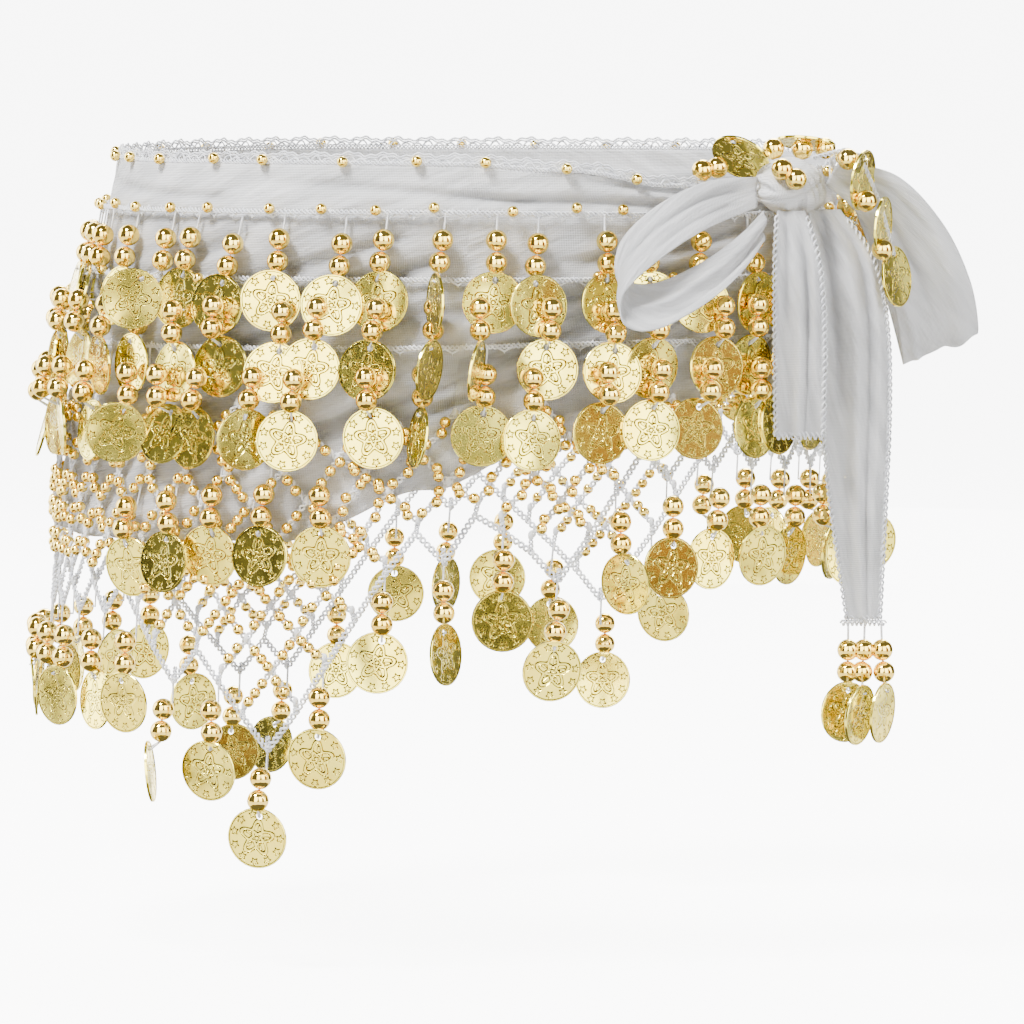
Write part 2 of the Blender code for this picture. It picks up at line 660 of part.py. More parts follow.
def main():
    for old in list(bpy.data.objects):
        bpy.data.objects.remove(old, do_unlink=True)
    folder = bpy.data.collections.new("coin_belt")
    bpy.context.scene.collection.children.link(folder)
    chiffon = material("white_chiffon", (0.80, 0.81, 0.82), 0.75, 0.0)
    thread = material("crochet_thread", (0.72, 0.73, 0.74), 0.8, 0.0)
    gold = material("gold_coins", (0.86, 0.69, 0.32), 0.2, 1.0)

    cloth_tube(
        "waistband",
        lambda angle: around("rim", angle),
        lambda angle: around("band", angle) + 0.5 * SEAM,
        BAND_ROWS,
        chiffon,
        folder,
    )
    cloth_tube(
        "hip_cloth",
        lambda angle: around("band", angle) - 0.5 * SEAM,
        lambda angle: around("hem", angle),
        HIP_ROWS,
        chiffon,
        folder,
    )
    lace_edging(thread, folder)

    # Beads and coins of the first two rows lie on the panel. From the third row down they lie over the net.
    on_panel = CHAIN_GAP + BEAD_HALF
    over_net = (gold, folder, OVER_NET_OUT, OVER_NET_CLEARANCE)
    row_1 = row_stops("band", ODD_ROW_START, 0, STRING_SECTOR)
    row_2 = row_stops("row2", EVEN_ROW_START, 7)
    row_3 = row_stops("row3", ODD_ROW_START, 13)
    fringe("pendant_row_1", row_1, gold, folder, on_panel, COIN_CLEARANCE)
    fringe("pendant_row_2", row_2, gold, folder, on_panel, OVER_NET_CLEARANCE)
    fringe("pendant_row_3", row_3, *over_net)
    fringe("pendant_festoon", FESTOON, *over_net, closed=False)

    steps = net_steps()
    half = NET_HALF_COLUMNS // 2
    net_half("net_front", 0, half, steps, thread, folder)
    net_half("net_back", half, NET_HALF_COLUMNS, steps, thread, folder)
    net_edge("net_edge_front", 0, half, steps, gold, folder)
    net_edge("net_edge_back", half, NET_HALF_COLUMNS, steps, gold, folder, trimmed=True)

    knot(chiffon, folder)
    by_knot = (gold, folder, STRING_OUT, STRING_OUT)
    fringe("knot_string", KNOT_STRING, *by_knot, closed=False, clear=STRING_CLEAR)
    ribbon("bow_loop_left", LEFT_LOOP, RIBBON_CUTS, RIBBON_WAVES, chiffon, folder)
    ribbon("bow_loop_right", RIGHT_LOOP, RIBBON_CUTS, RIBBON_WAVES, chiffon, folder)
    ribbon("tail_long", LONG_TAIL, TAIL_CUTS, TAIL_WAVES, chiffon, folder)
    ribbon("tail_short", SHORT_TAIL, TAIL_CUTS, TAIL_WAVES, chiffon, folder)
    fringe(
        "tail_tassel",
        TASSEL,
        gold,
        folder,
        0.0,
        0.0,
        closed=False,
        place=on_bench,
        clear=TASSEL_CLEAR,
        per_mm=1.0,
    )


main()
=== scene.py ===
# %% [markdown]
# # Coin belt
#
# This is a belly-dance hip scarf, shown as it is worn: white chiffon drawn round the hips and tied in a bow
# at one side. Crochet chains carry pendants of two beads and a coin, and a beaded net of thread hangs in
# points below the cloth. Each step below builds one of those layers, from the cloth outwards.

import math
from functools import partial

import bmesh
import bpy
import numpy as np
from mathutils import Matrix, Vector


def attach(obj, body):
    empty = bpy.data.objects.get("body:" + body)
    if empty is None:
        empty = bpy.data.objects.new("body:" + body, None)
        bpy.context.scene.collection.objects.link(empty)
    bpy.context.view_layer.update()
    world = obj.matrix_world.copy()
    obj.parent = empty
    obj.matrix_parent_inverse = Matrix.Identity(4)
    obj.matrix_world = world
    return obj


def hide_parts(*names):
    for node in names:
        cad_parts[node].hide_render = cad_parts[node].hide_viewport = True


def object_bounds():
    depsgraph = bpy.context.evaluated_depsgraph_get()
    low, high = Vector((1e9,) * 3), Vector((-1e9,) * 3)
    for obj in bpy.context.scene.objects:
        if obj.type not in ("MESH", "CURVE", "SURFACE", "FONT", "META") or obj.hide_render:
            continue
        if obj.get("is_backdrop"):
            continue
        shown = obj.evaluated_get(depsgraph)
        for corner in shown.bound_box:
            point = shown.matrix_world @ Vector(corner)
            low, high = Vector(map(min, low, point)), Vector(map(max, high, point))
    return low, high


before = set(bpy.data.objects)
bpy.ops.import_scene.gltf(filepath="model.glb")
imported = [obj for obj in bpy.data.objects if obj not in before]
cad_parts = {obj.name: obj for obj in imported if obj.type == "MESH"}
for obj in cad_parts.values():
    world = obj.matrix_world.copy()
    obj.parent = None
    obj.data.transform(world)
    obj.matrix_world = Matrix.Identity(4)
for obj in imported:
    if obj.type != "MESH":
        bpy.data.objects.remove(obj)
cad_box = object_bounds()
MM = 0.001
random = np.random.default_rng(7)


def table(columns, *rows):
    """Rows of values as dictionaries, by the names of their columns."""
    return [dict(zip(columns.split(), row)) for row in rows]


def add_object(name, data):
    """Puts an object with this mesh, curve, lamp or camera into the scene."""
    made = bpy.data.objects.new(name, data)
    bpy.context.scene.collection.objects.link(made)
    return made


print("frame nodes:", len(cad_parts))

# %% [markdown]
# ## Camera, floor and light
#
# The picture was taken from a little above the waist with a long lens, which keeps the ring nearly free of
# perspective. Metal shows what stands round it, so the studio matters more than the lamps: a pale surround
# gives the coins their cream colour, and a few dark boards, unseen by the camera itself, put the small dark
# shapes on every bead.

# %% Camera
TARGET = Vector((0.0153, 0.0, -0.1318))
CAMERA_DISTANCE = 2.6
CAMERA_ELEVATION = math.radians(4.0)

camera = add_object("camera", bpy.data.cameras.new("camera"))
camera.data.lens = 244.5
camera.data.sensor_width = 36.0
towards_camera = Vector((0.0, -math.cos(CAMERA_ELEVATION), math.sin(CAMERA_ELEVATION)))
camera.location = TARGET + towards_camera * CAMERA_DISTANCE
camera.rotation_euler = (-towards_camera).to_track_quat("-Z", "Y").to_euler()
bpy.context.scene.camera = camera
print("camera at", [round(value, 3) for value in camera.location])


# %% Node helpers
def feed(tree, node, inputs):
    """Sets or links a node's inputs, given by name or number."""
    for title, value in inputs.items():
        if isinstance(value, bpy.types.NodeSocket):
            tree.links.new(value, node.inputs[title])
        else:
            node.inputs[title].default_value = value


def add_node(tree, kind, inputs=None, **settings):
    """A shader node with its settings, and numbers, colours or sockets as its inputs."""
    node = tree.nodes.new("ShaderNode" + kind)
    for title, value in settings.items():
        setattr(node, title, value)
    feed(tree, node, inputs or {})
    return node


def add_math(tree, operation, *values):
    """A Math node's output socket."""
    return add_node(tree, "Math", dict(enumerate(values)), operation=operation).outputs[0]


def new_material(name, **values):
    """A material with its node tree and its Principled BSDF. An underscore in a name stands for a space."""
    made = bpy.data.materials.new(name)
    made.use_nodes = True
    shader = made.node_tree.nodes["Principled BSDF"]
    feed(made.node_tree, shader, {title.replace("_", " "): value for title, value in values.items()})
    return made, made.node_tree, shader


# %% Floor and studio boards
def plain_material(name, colour, roughness, glow=0.0):
    """A material of one colour for the studio, which may glow."""
    colour = (*colour, 1.0)
    looks = {"Base_Color": colour, "Emission_Color": colour, "Emission_Strength": glow}
    return new_material(name, Roughness=roughness, **looks)[0]


def board(name, centre, corners, facing, skin, unseen):
    """A flat board of the studio that faces a point. The camera and the cloth can be kept from seeing it."""
    mesh = bpy.data.meshes.new(name)
    mesh.from_pydata([(x, y, 0.0) for x, y in corners], [], [tuple(range(len(corners)))])
    mesh.materials.append(skin)
    made = add_object(name, mesh)
    made.location = centre
    made.rotation_euler = (Vector(facing) - Vector(centre)).to_track_quat("Z", "Y").to_euler()
    made.visible_camera = made.visible_shadow = made.visible_diffuse = not unseen
    made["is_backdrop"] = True
    return made


def rectangle(width, height):
    """The corners of a board of this size."""
    x, y = 0.5 * width, 0.5 * height
    return [(-x, -y), (x, -y), (x, y), (-x, y)]


pale = plain_material("pale_floor", (0.66, 0.66, 0.66), 0.7)
dark = plain_material("dark_board", (0.010, 0.008, 0.006), 0.9)
brown = plain_material("brown_board", (0.20, 0.09, 0.02), 0.9)
bright = plain_material("bright_board", (1.0, 0.98, 0.90), 0.9, 6.5)
soft = plain_material("soft_board", (1.0, 0.95, 0.84), 0.9, 2.6)
floor = board("floor", (0.0, 0.0, -0.29), rectangle(30.0, 30.0), (0.0, 0.0, 1.0), pale, False)
floor.visible_glossy = False

POINTED = [(-0.4, -0.375), (0.4, -0.375), (0.0, 0.375)]
BOARDS = table(
    "turn rise corners skin away",
    (3, -0.02, POINTED, dark, 1.6),
    (-47, -0.10, rectangle(0.30, 1.00), dark, 1.6),
    (56, 0.00, rectangle(0.45, 1.20), brown, 1.6),
    (104, 0.10, rectangle(0.40, 0.70), dark, 1.6),
    (183, -0.02, POINTED, dark, 1.6),
    (140, 0.00, rectangle(0.35, 0.90), brown, 1.6),
    (-132, 0.05, rectangle(0.40, 0.90), brown, 1.6),
    (-88, 0.00, POINTED, dark, 1.6),
    (-20, 0.42, rectangle(1.35, 1.9), bright, 2.1),
    (27, 0.42, rectangle(1.35, 1.9), bright, 2.1),
    (-110, 0.42, rectangle(1.2, 1.9), bright, 2.1),
    (80, 0.42, rectangle(0.8, 1.7), bright, 2.1),
    (162, 0.42, rectangle(1.35, 1.9), bright, 2.1),
    (-155, 0.42, rectangle(1.2, 1.9), bright, 2.1),
    *((turn, -1.05, rectangle(2.3, 1.1), soft, 2.0) for turn in range(-150, 151, 60)),
)
for number, row in enumerate(BOARDS):
    around_ring = math.radians(row["turn"])
    spot = Vector((math.sin(around_ring), -math.cos(around_ring), 0.0)) * row["away"]
    spot.z = row["rise"]
    board(f"board_{number}", spot, row["corners"], TARGET, row["skin"], True)
print("boards:", len(BOARDS))


# %% White behind the object
def camera_only(tree, strength):
    """A strength that the camera alone sees, so that the white surround doesn't flood the cloth."""
    return add_math(tree, "MULTIPLY", add_node(tree, "LightPath").outputs["Is Camera Ray"], strength)


floor_glow = camera_only(pale.node_tree, 12.0)
feed(pale.node_tree, pale.node_tree.nodes["Principled BSDF"], {"Emission Strength": floor_glow})


# %% Lights
def lamp(name, place, size, power):
    """A soft square lamp that faces the scarf."""
    made = add_object(name, bpy.data.lights.new(name, "AREA"))
    made.data.size = size
    made.data.energy = power
    made.location = place
    made.rotation_euler = (TARGET - Vector(place)).to_track_quat("-Z", "Y").to_euler()


world = bpy.data.worlds.new("surround")
world.use_nodes = True
sky = world.node_tree
matt = add_node(sky, "LightPath").outputs["Is Diffuse Ray"]
surround = add_math(sky, "ADD", add_math(sky, "MULTIPLY_ADD", matt, 0.26, camera_only(sky, 8.0)), 0.20)
feed(sky, sky.nodes["Background"], {"Color": (1.0, 1.0, 1.0, 1.0), "Strength": surround})
bpy.context.scene.world = world
lamp("key", (-1.0, -1.0, 1.9), 0.7, 175.0)
lamp("side", (1.5, -0.8, 0.6), 0.7, 18.0)
lamp("back", (0.2, 1.6, 1.4), 0.9, 45.0)

# %% [markdown]
# ## The ring that the scarf is worn on
#
# Every layer follows the same wall, so it is described once: the ring's size at each height, the heights of
# the edges and crochet lines round it, and the large folds. A place on the scarf is then an angle from the
# front centre, a height in millimetres, and a distance out from the cloth.

# %% Shape of the ring
BODY = table(
    "height half_width half_depth shift",
    (-280, 144.5, 119, -13),
    (-180, 144.5, 119, -11),
    (-120, 143.5, 118, -8),
    (-60, 140, 114, -3),
    (0, 134, 108, 2),
    (12, 132, 106, 3),
)
EDGES = table(
    "angle rim band row2 row3 hem net",
    (-178, 2, -15, -39, -62, -112, -126),
    (-152, 2.5, -15, -40, -64, -126, -196),
    (-125, 2, -16, -41, -65, -134, -146),
    (-98, 1, -17, -41, -66, -137, -168),
    (-58, 0, -17, -41, -66, -137, -144),
    (-24, 0, -17, -41, -66, -135, -208),
    (-3, -0.5, -17, -41, -65, -116, -124),
    (15, -3, -17.5, -41, -64, -98, -144),
    (32, -8.5, -18, -41, -63.5, -86, -100),
    (45, -11, -18.5, -41, -63, -83, -120),
    (57, -10, -18.5, -41, -63, -84.5, -100),
    (69, -6, -18, -41, -63, -85, -112),
    (90, -1, -17, -40, -62, -85, -100),
    (110, 1, -16, -39, -61, -86, -120),
    (130, 2, -15, -38, -60, -88, -102),
    (155, 2, -15, -38, -61, -99, -158),
)
FOLDS = table(
    "top_angle foot_angle half_width depth top foot",
    (44, -20, 10, -1.8, -22, -112),
    (56, 14, 10, 1.6, -20, -92),
    (24, -48, 12, 1.8, -26, -132),
    (0, -76, 12, -1.6, -28, -134),
    (-36, -98, 13, 1.8, -24, -134),
    (76, 112, 11, 1.8, -20, -68),
    (100, 150, 12, -1.6, -22, -88),
    (126, 186, 12, 1.8, -24, -116),
    (160, 222, 13, -1.6, -26, -128),
)


# %% Places on the ring
def column_of(rows, name):
    """One column of a table as an array."""
    return np.array([row[name] for row in rows], float)


def smooth(share):
    """0 to 1 with a soft start and end."""
    share = np.clip(share, 0.0, 1.0)
    return share * share * (3.0 - 2.0 * share)


def wrapped(angle):
    """The same angle between -180 and 180."""
    return (np.asarray(angle, float) + 180.0) % 360.0 - 180.0


def inside(angle, sector):
    """Whether an angle lies in a sector, given by where it runs from and to."""
    return sector["from"] < wrapped(angle) < sector["to"]


def edge(column, angle, soft=True):
    """The height of an edge or a crochet line at this angle."""
    stations = np.append(column_of(EDGES, "angle"), EDGES[0]["angle"] + 360.0)
    heights = np.append(column_of(EDGES, column), EDGES[0][column])
    turned = (np.asarray(angle, float) - stations[0]) % 360.0 + stations[0]
    low = np.clip(np.searchsorted(stations, turned, side="right") - 1, 0, len(EDGES) - 1)
    share = (turned - stations[low]) / (stations[low + 1] - stations[low])
    return heights[low] + (heights[low + 1] - heights[low]) * (smooth(share) if soft else share)


def large_folds(angle, height):
    """How far the main folds push the cloth out, in millimetres."""
    pushed = 0.0
    for fold in FOLDS:
        share = (fold["top"] - height) / (fold["top"] - fold["foot"])
        line = fold["top_angle"] + (fold["foot_angle"] - fold["top_angle"]) * share
        fade = smooth((share + 0.2) / 0.35) * smooth((1.3 - share) / 0.4)
        pushed = pushed + fold["depth"] * fade * np.exp(-((wrapped(angle - line) / fold["half_width"]) ** 2))
    return pushed


def ring_points(angle, height, out=0.0):
    """Points in metres, this many millimetres out from the cloth's outer face. Takes numbers or arrays."""
    angle, height, out = np.broadcast_arrays(*(np.asarray(v, float) for v in (angle, height, out)))
    levels = column_of(BODY, "height")
    half_width, half_depth, shift = (
        np.interp(height, levels, column_of(BODY, name)) for name in ("half_width", "half_depth", "shift")
    )
    turn = np.radians(angle)
    normal = np.stack([np.sin(turn) / half_width, -np.cos(turn) / half_depth], -1)
    normal /= np.linalg.norm(normal, axis=-1, keepdims=True)
    stand = (out + large_folds(angle, height))[..., None] * normal
    x = shift + half_width * np.sin(turn) + stand[..., 0]
    y = -half_depth * np.cos(turn) + stand[..., 1]
    return np.stack([x, y, height], -1) * MM


def on_ring(angle, height, out=0.0):
    """One such point, as a vector."""
    return Vector(ring_points(angle, height, out))


print("front centre of the rim:", [round(value, 4) for value in on_ring(0, 0)])

# %% [markdown]
# ## Finishes
#
# There are five: chiffon doubled and single, crochet thread, the gold of the beads and the gold of the coins.
# Chiffon is a thin open weave, so its material lets a little light through between the threads. Its colour
# has painted shade in its wrinkles and creases, and the single chiffon of the hip cloth has a darker tone
# that paints the shade between the coins. Every finish has a tone that drifts a little, which one shared node
# group paints. The coins' pattern is raised by a height pattern on the face: a ring of stars round a
# five-petal rosette, with painted shade along its slopes.


# %% Groups and textures
def add_ramp(tree, value, low, high):
    """A soft step from 0 at one value to 1 at another."""
    inputs = {"Value": value, "From Min": low, "From Max": high}
    return add_node(tree, "MapRange", inputs, interpolation_type="SMOOTHSTEP").outputs["Result"]


def add_noise(tree, vector, scale, detail):
    """A Noise Texture's value."""
    return add_node(tree, "TexNoise", {"Vector": vector, "Scale": scale, "Detail": detail}).outputs["Fac"]


def add_mix(tree, share, first, second):
    """A colour between two others."""
    inputs = {"Factor": share, "A": first, "B": second}
    return add_node(tree, "Mix", inputs, data_type="RGBA").outputs["Result"]


def add_bump(tree, height, strength, distance, **normal):
    """A Bump node's normal, for a height that rises by this many millimetres."""
    inputs = {"Height": height, "Strength": strength, "Distance": distance * MM, **normal}
    return add_node(tree, "Bump", inputs).outputs["Normal"]


def new_group(name, inputs, outputs):
    """An empty shader node group with named sockets, and its input and output nodes."""
    group = bpy.data.node_groups.new(name, "ShaderNodeTree")
    for way, sockets in (("INPUT", inputs), ("OUTPUT", outputs)):
        for title, kind in sockets.items():
            group.interface.new_socket(title, in_out=way, socket_type="NodeSocket" + kind)
    return group, group.nodes.new("NodeGroupInput").outputs, group.nodes.new("NodeGroupOutput")


def place_group(tree, group, **values):
    """The outputs of a group node in a material, with its own values. An underscore stands for a space."""
    node = add_node(tree, "Group", node_tree=group)
    feed(tree, node, {title.replace("_", " "): value for title, value in values.items()})
    return node.outputs


# %% Shared effects: weave and drifting tone
def make_weave():
    """Crossed threads, from a UV map in millimetres."""
    group, start, end = new_group(
        "weave", {"Vector": "Vector", "Spacing": "Float"}, {"Height": "Float", "Gaps": "Float"}
    )
    split = add_node(group, "SeparateXYZ", {0: start["Vector"]}).outputs
    turns = add_math(group, "DIVIDE", 2.0 * math.pi, start["Spacing"])
    waves = [add_math(group, "SINE", add_math(group, "MULTIPLY", split[axis], turns)) for axis in "XY"]
    both = add_math(group, "ADD", *waves)
    height = add_math(group, "MULTIPLY_ADD", both, 0.25, 0.5)
    feed(group, end, {"Height": height, "Gaps": add_ramp(group, both, -0.4, -1.9)})
    return group


def make_drift():
    """A colour that drifts between two tones over the surface."""
    group, start, end = new_group(
        "drifting_tone", {"Tone": "Color", "Other Tone": "Color", "Scale": "Float"}, {"Color": "Color"}
    )
    noise = add_noise(group, add_node(group, "TexCoord").outputs["Object"], start["Scale"], 3.0)
    spread = add_ramp(group, noise, 0.35, 0.68)
    feed(group, end, {"Color": add_mix(group, spread, start["Tone"], start["Other Tone"])})
    return group


weave = make_weave()
drift = make_drift()


# %% Chiffon and thread
def make_chiffon(name, tone, other_tone, wrinkle_shade):
    """White chiffon: matt, finely woven and a little sheer. Painted shade darkens it by this share in its
    wrinkles' troughs.
    """
    looks = {"Sheen_Weight": 0.25, "Sheen_Roughness": 0.4, "Specular_IOR_Level": 0.25}
    made, tree, shader = new_material(name, Roughness=0.8, **looks)
    uv = add_node(tree, "UVMap").outputs["UV"]
    calc = partial(add_math, tree)
    cloth = place_group(tree, weave, Spacing=0.6, Vector=uv)
    tone = place_group(tree, drift, Tone=tone, Other_Tone=other_tone, Scale=26.0)
    # Painted shade: the colour darkens in the troughs of a stretched wrinkle pattern, and where the crease
    # attribute marks a crease trough.
    wrinkle = add_noise(tree, stretched(tree, uv, 34.0, 7.5), 1.0, 3.0)
    painted_wrinkle_shade = calc("MULTIPLY", add_ramp(tree, wrinkle, 0.60, 0.38), wrinkle_shade)
    weave_and_wrinkle_shade = calc("MULTIPLY_ADD", cloth["Gaps"], 0.16, painted_wrinkle_shade)
    painted_crease_shade = add_node(tree, "Attribute", attribute_name="crease").outputs["Fac"]
    shade = calc("MULTIPLY_ADD", painted_crease_shade, 0.60, weave_and_wrinkle_shade)
    relief = calc("ADD", wrinkle, calc("MULTIPLY", cloth["Height"], 0.06))
    opening = calc("MULTIPLY", cloth["Gaps"], 0.30)
    # The base colour is mixed towards grey-blue in the weave's gaps, and as painted shade in wrinkles and
    # creases.
    inputs = {
        "Base Color": add_mix(tree, shade, tone["Color"], (0.30, 0.305, 0.32, 1.0)),
        "Normal": add_bump(tree, relief, 0.9, 3.0),
        "Alpha": calc("SUBTRACT", 0.97, opening),
    }
    feed(tree, shader, inputs)
    return made


def stretched(tree, uv, along, across):
    """The UV map turned and scaled: a pattern this long and wide, in millimetres, that rises slowly."""
    inputs = {"Vector": uv, "Scale": (along, across, 1.0), "Rotation": (0.0, 0.0, math.radians(21.0))}
    return add_node(tree, "Mapping", inputs, vector_type="TEXTURE").outputs["Vector"]


def make_thread():
    """Soft white crochet cotton."""
    made, tree, shader = new_material("crochet_thread", Roughness=0.75, Sheen_Weight=0.3)
    tones = {"Tone": (0.80, 0.81, 0.83, 1.0), "Other_Tone": (0.64, 0.65, 0.69, 1.0)}
    tone = place_group(tree, drift, Scale=240.0, **tones)
    fibres = add_noise(tree, add_node(tree, "TexCoord").outputs["Object"], 2200.0, 2.0)
    feed(tree, shader, {"Base Color": tone["Color"], "Normal": add_bump(tree, fibres, 0.5, 0.2)})
    return made


chiffon = make_chiffon("white_chiffon", (0.79, 0.79, 0.795, 1.0), (0.69, 0.692, 0.70, 1.0), 0.24)
# The hip cloth's chiffon is a single sheer layer with a darker tone. That tone is painted shade: the shade
# between the coins and of the dark inside that shows through. It also gets more painted wrinkle shade.
shaded_hip_chiffon = make_chiffon("shaded_hip_chiffon", (0.66, 0.66, 0.672, 1.0), (0.52, 0.522, 0.54, 1.0), 0.50)
thread = make_thread()


# %% Gold of the beads and the coins
def make_bead_gold():
    """Warm plated gold, polished like a mirror."""
    made, tree, shader = new_material("bead_gold", Metallic=1.0, Roughness=0.04)
    tones = {"Tone": (1.0, 0.75, 0.17, 1.0), "Other_Tone": (0.95, 0.65, 0.10, 1.0)}
    tone = place_group(tree, drift, Scale=90.0, **tones)
    feed(tree, shader, {"Base Color": tone["Color"]})
    return made


def make_coin_relief():
    """The coin's raised pattern of rim, eleven stars and rosette, on a UV map that holds its face. It also
    gives the pattern's slopes, for painted shade.
    """
    group, start, end = new_group("coin_relief", {"Vector": "Vector"}, {"Height": "Float", "Slope_Shade": "Float"})

    calc = partial(add_math, group)
    step = partial(add_ramp, group)

    def length_of(x, y):
        """The distance of a point from the middle."""
        return calc("SQRT", calc("ADD", calc("MULTIPLY", x, x), calc("MULTIPLY", y, y)))

    def petal_line(middle, swing, turn):
        """A raised line along the outline of five petals."""
        outline = calc("MULTIPLY_ADD", calc("COSINE", calc("MULTIPLY_ADD", angle, 5.0, turn)), swing, middle)
        return step(calc("ABSOLUTE", calc("SUBTRACT", radius, outline)), 0.100, 0.035)

    split = add_node(group, "SeparateXYZ", {0: start["Vector"]}).outputs
    x, y = (calc("MULTIPLY_ADD", split[axis], 2.0, -1.0) for axis in "XY")
    radius = length_of(x, y)
    angle = calc("ARCTAN2", x, y)
    rim = step(radius, 0.925, 0.955)
    sector = 2.0 * math.pi / 11.0
    local = calc("SUBTRACT", calc("WRAP", angle, sector, 0.0), 0.5 * sector)
    star_x = calc("SUBTRACT", calc("MULTIPLY", radius, calc("COSINE", local)), 0.79)
    star_y = calc("MULTIPLY", radius, calc("SINE", local))
    points = calc("COSINE", calc("MULTIPLY", calc("ARCTAN2", star_y, star_x), 5.0))
    star_reach = calc("MULTIPLY", length_of(star_x, star_y), calc("MULTIPLY_ADD", points, -0.28, 1.0))
    star = step(star_reach, 0.115, 0.060)
    vein_turn = calc("ADD", calc("MULTIPLY", angle, 5.0), calc("MULTIPLY", radius, 2.0))
    vein_reach = calc("MULTIPLY", step(radius, 0.46, 0.40), step(radius, 0.22, 0.27))
    vein = calc("MULTIPLY", step(calc("COSINE", vein_turn), 0.72, 0.94), vein_reach)
    petals = petal_line(0.43, 0.13, 0.0)
    heart = petal_line(0.17, 0.05, math.pi)
    raised = calc("MAXIMUM", rim, star)
    for form in (petals, heart, vein, step(radius, 0.09, 0.04)):
        raised = calc("MAXIMUM", raised, form)
    # The slopes of the raised pattern, as a mask for painted shade.
    slope = calc("MULTIPLY", raised, calc("SUBTRACT", 1.0, raised))
    feed(group, end, {"Height": raised, "Slope_Shade": step(slope, 0.02, 0.20)})
    return group


def make_coin_gold(relief):
    """Pale plated gold with the struck pattern, a little buckled, with painted shade along the pattern's
    slopes.
    """
    made, tree, shader = new_material("coin_gold", Metallic=1.0, Roughness=0.14)
    pattern = place_group(tree, relief, Vector=add_node(tree, "UVMap").outputs["UV"])
    tones = {"Tone": (1.0, 0.87, 0.16, 1.0), "Other_Tone": (0.96, 0.78, 0.11, 1.0)}
    tone = place_group(tree, drift, Scale=45.0, **tones)
    # Painted shade: the slopes of the raised pattern are darkened towards dark brown, which stands in for
    # their darker reflection.
    painted_slope_shade = add_math(tree, "MULTIPLY", pattern["Slope_Shade"], 0.85)
    uneven = add_noise(tree, add_node(tree, "TexCoord").outputs["Object"], 70.0, 0.0)
    buckled = add_bump(tree, uneven, 0.5, 1.2)
    inputs = {
        "Base Color": add_mix(tree, painted_slope_shade, tone["Color"], (0.20, 0.14, 0.03, 1.0)),
        "Normal": add_bump(tree, pattern["Height"], 0.9, 1.1, Normal=buckled),
    }
    feed(tree, shader, inputs)
    return made


bead_gold = make_bead_gold()
coin_gold = make_coin_gold(make_coin_relief())
print("finishes:", [skin.name for skin in (chiffon, shaded_hip_chiffon, thread, bead_gold, coin_gold)])

# %% [markdown]
# ## Mesh helpers
#
# Hundreds of beads, coins and stitches are one mesh for each row: a small model is copied to every place with
# its matrix, and all the copies are joined. Threads are curves with a round section, turned into a mesh.


# %% Joined copies, threads and sheets
def finish_piece(made, skin):
    """Gives a piece its finish and the body that it rides on."""
    made.data.materials.clear()
    made.data.materials.append(skin)
    made.data.shade_smooth()
    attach(made, "root")
    return made


def mesh_piece(name, points, faces, uv=None):
    """A mesh object of these points in metres, with an optional UV pair for each point."""
    mesh = bpy.data.meshes.new(name)
    mesh.from_pydata([tuple(point) for point in points], [], faces)
    if uv is not None:
        corners = np.zeros(len(mesh.loops), np.int32)
        mesh.loops.foreach_get("vertex_index", corners)
        layer = mesh.uv_layers.new(name="UVMap")
        layer.data.foreach_set("uv", np.asarray(uv, np.float32)[corners].ravel())
    mesh.update()
    return add_object(name, mesh)


def copies(name, model, places, skin=bead_gold):
    """One mesh of a model, given as points, faces and UV, at each of these matrices."""
    points, faces, uv = model
    padded = np.hstack([points, np.ones((len(points), 1))])
    matrices = np.array([[list(row) for row in place] for place in places])
    placed = np.einsum("nij,vj->nvi", matrices, padded)[..., :3].reshape(-1, 3)
    starts = range(0, len(placed), len(points))
    all_faces = [tuple(corner + start for corner in face) for start in starts for face in faces]
    all_uv = None if uv is None else np.tile(uv, (len(places), 1))
    return finish_piece(mesh_piece(name, placed, all_faces, all_uv), skin)


def settled_mesh(made):
    """The mesh that an object's bevel or modifiers make of it. The object itself is deleted."""
    bpy.context.view_layer.update()
    mesh = bpy.data.meshes.new_from_object(made.evaluated_get(bpy.context.evaluated_depsgraph_get()))
    bpy.data.objects.remove(made)
    return mesh


def threads(name, paths, radius):
    """Round threads of this radius, in millimetres, along these lists of points, as one mesh."""
    curve = bpy.data.curves.new(name, "CURVE")
    curve.dimensions = "3D"
    curve.bevel_depth = radius * MM
    curve.bevel_resolution = 0
    for path in paths:
        spline = curve.splines.new("POLY")
        spline.points.add(len(path) - 1)
        spline.points.foreach_set("co", np.hstack([path, np.ones((len(path), 1))]).ravel())
    mesh = settled_mesh(add_object(name + "_guide", curve))
    print(name, "threads:", len(paths), "faces:", len(mesh.polygons))
    return finish_piece(add_object(name, mesh), thread)


def ball(radius, subdivisions):
    """A ball's points, faces and no UV."""
    shape = bmesh.new()
    bmesh.ops.create_icosphere(shape, subdivisions=subdivisions, radius=radius)
    shape.verts.index_update()
    points = np.array([corner.co for corner in shape.verts])
    faces = [tuple(corner.index for corner in face.verts) for face in shape.faces]
    shape.free()
    return points, faces, None


def unit(vectors):
    """The same directions, each one long."""
    return vectors / np.linalg.norm(vectors, axis=-1, keepdims=True)


def braid(path, period, wide, deep):
    """Two threads that cross each other along a path, which look like a row of chain stitches.

    Each end keeps to the path. The width and depth are in millimetres, and so is the length of a stitch.
    """
    path = np.asarray(path, float)
    along = np.concatenate([[0.0], np.cumsum(np.linalg.norm(np.diff(path, axis=0), axis=1))])
    count = 6 * max(1, round(along[-1] / (period * MM))) + 1
    spots = np.linspace(0.0, along[-1], count)
    middle = np.stack([np.interp(spots, along, path[:, axis]) for axis in range(3)], -1)
    outward = unit(middle * [1.0, 1.0, 0.0])
    side = unit(np.cross(unit(np.gradient(middle, axis=0)), outward))
    phase = math.pi * np.arange(count)[:, None] / 3.0
    swing = (side * np.sin(phase) * wide + outward * np.cos(phase) * deep) * MM
    return [middle + swing, middle - swing]
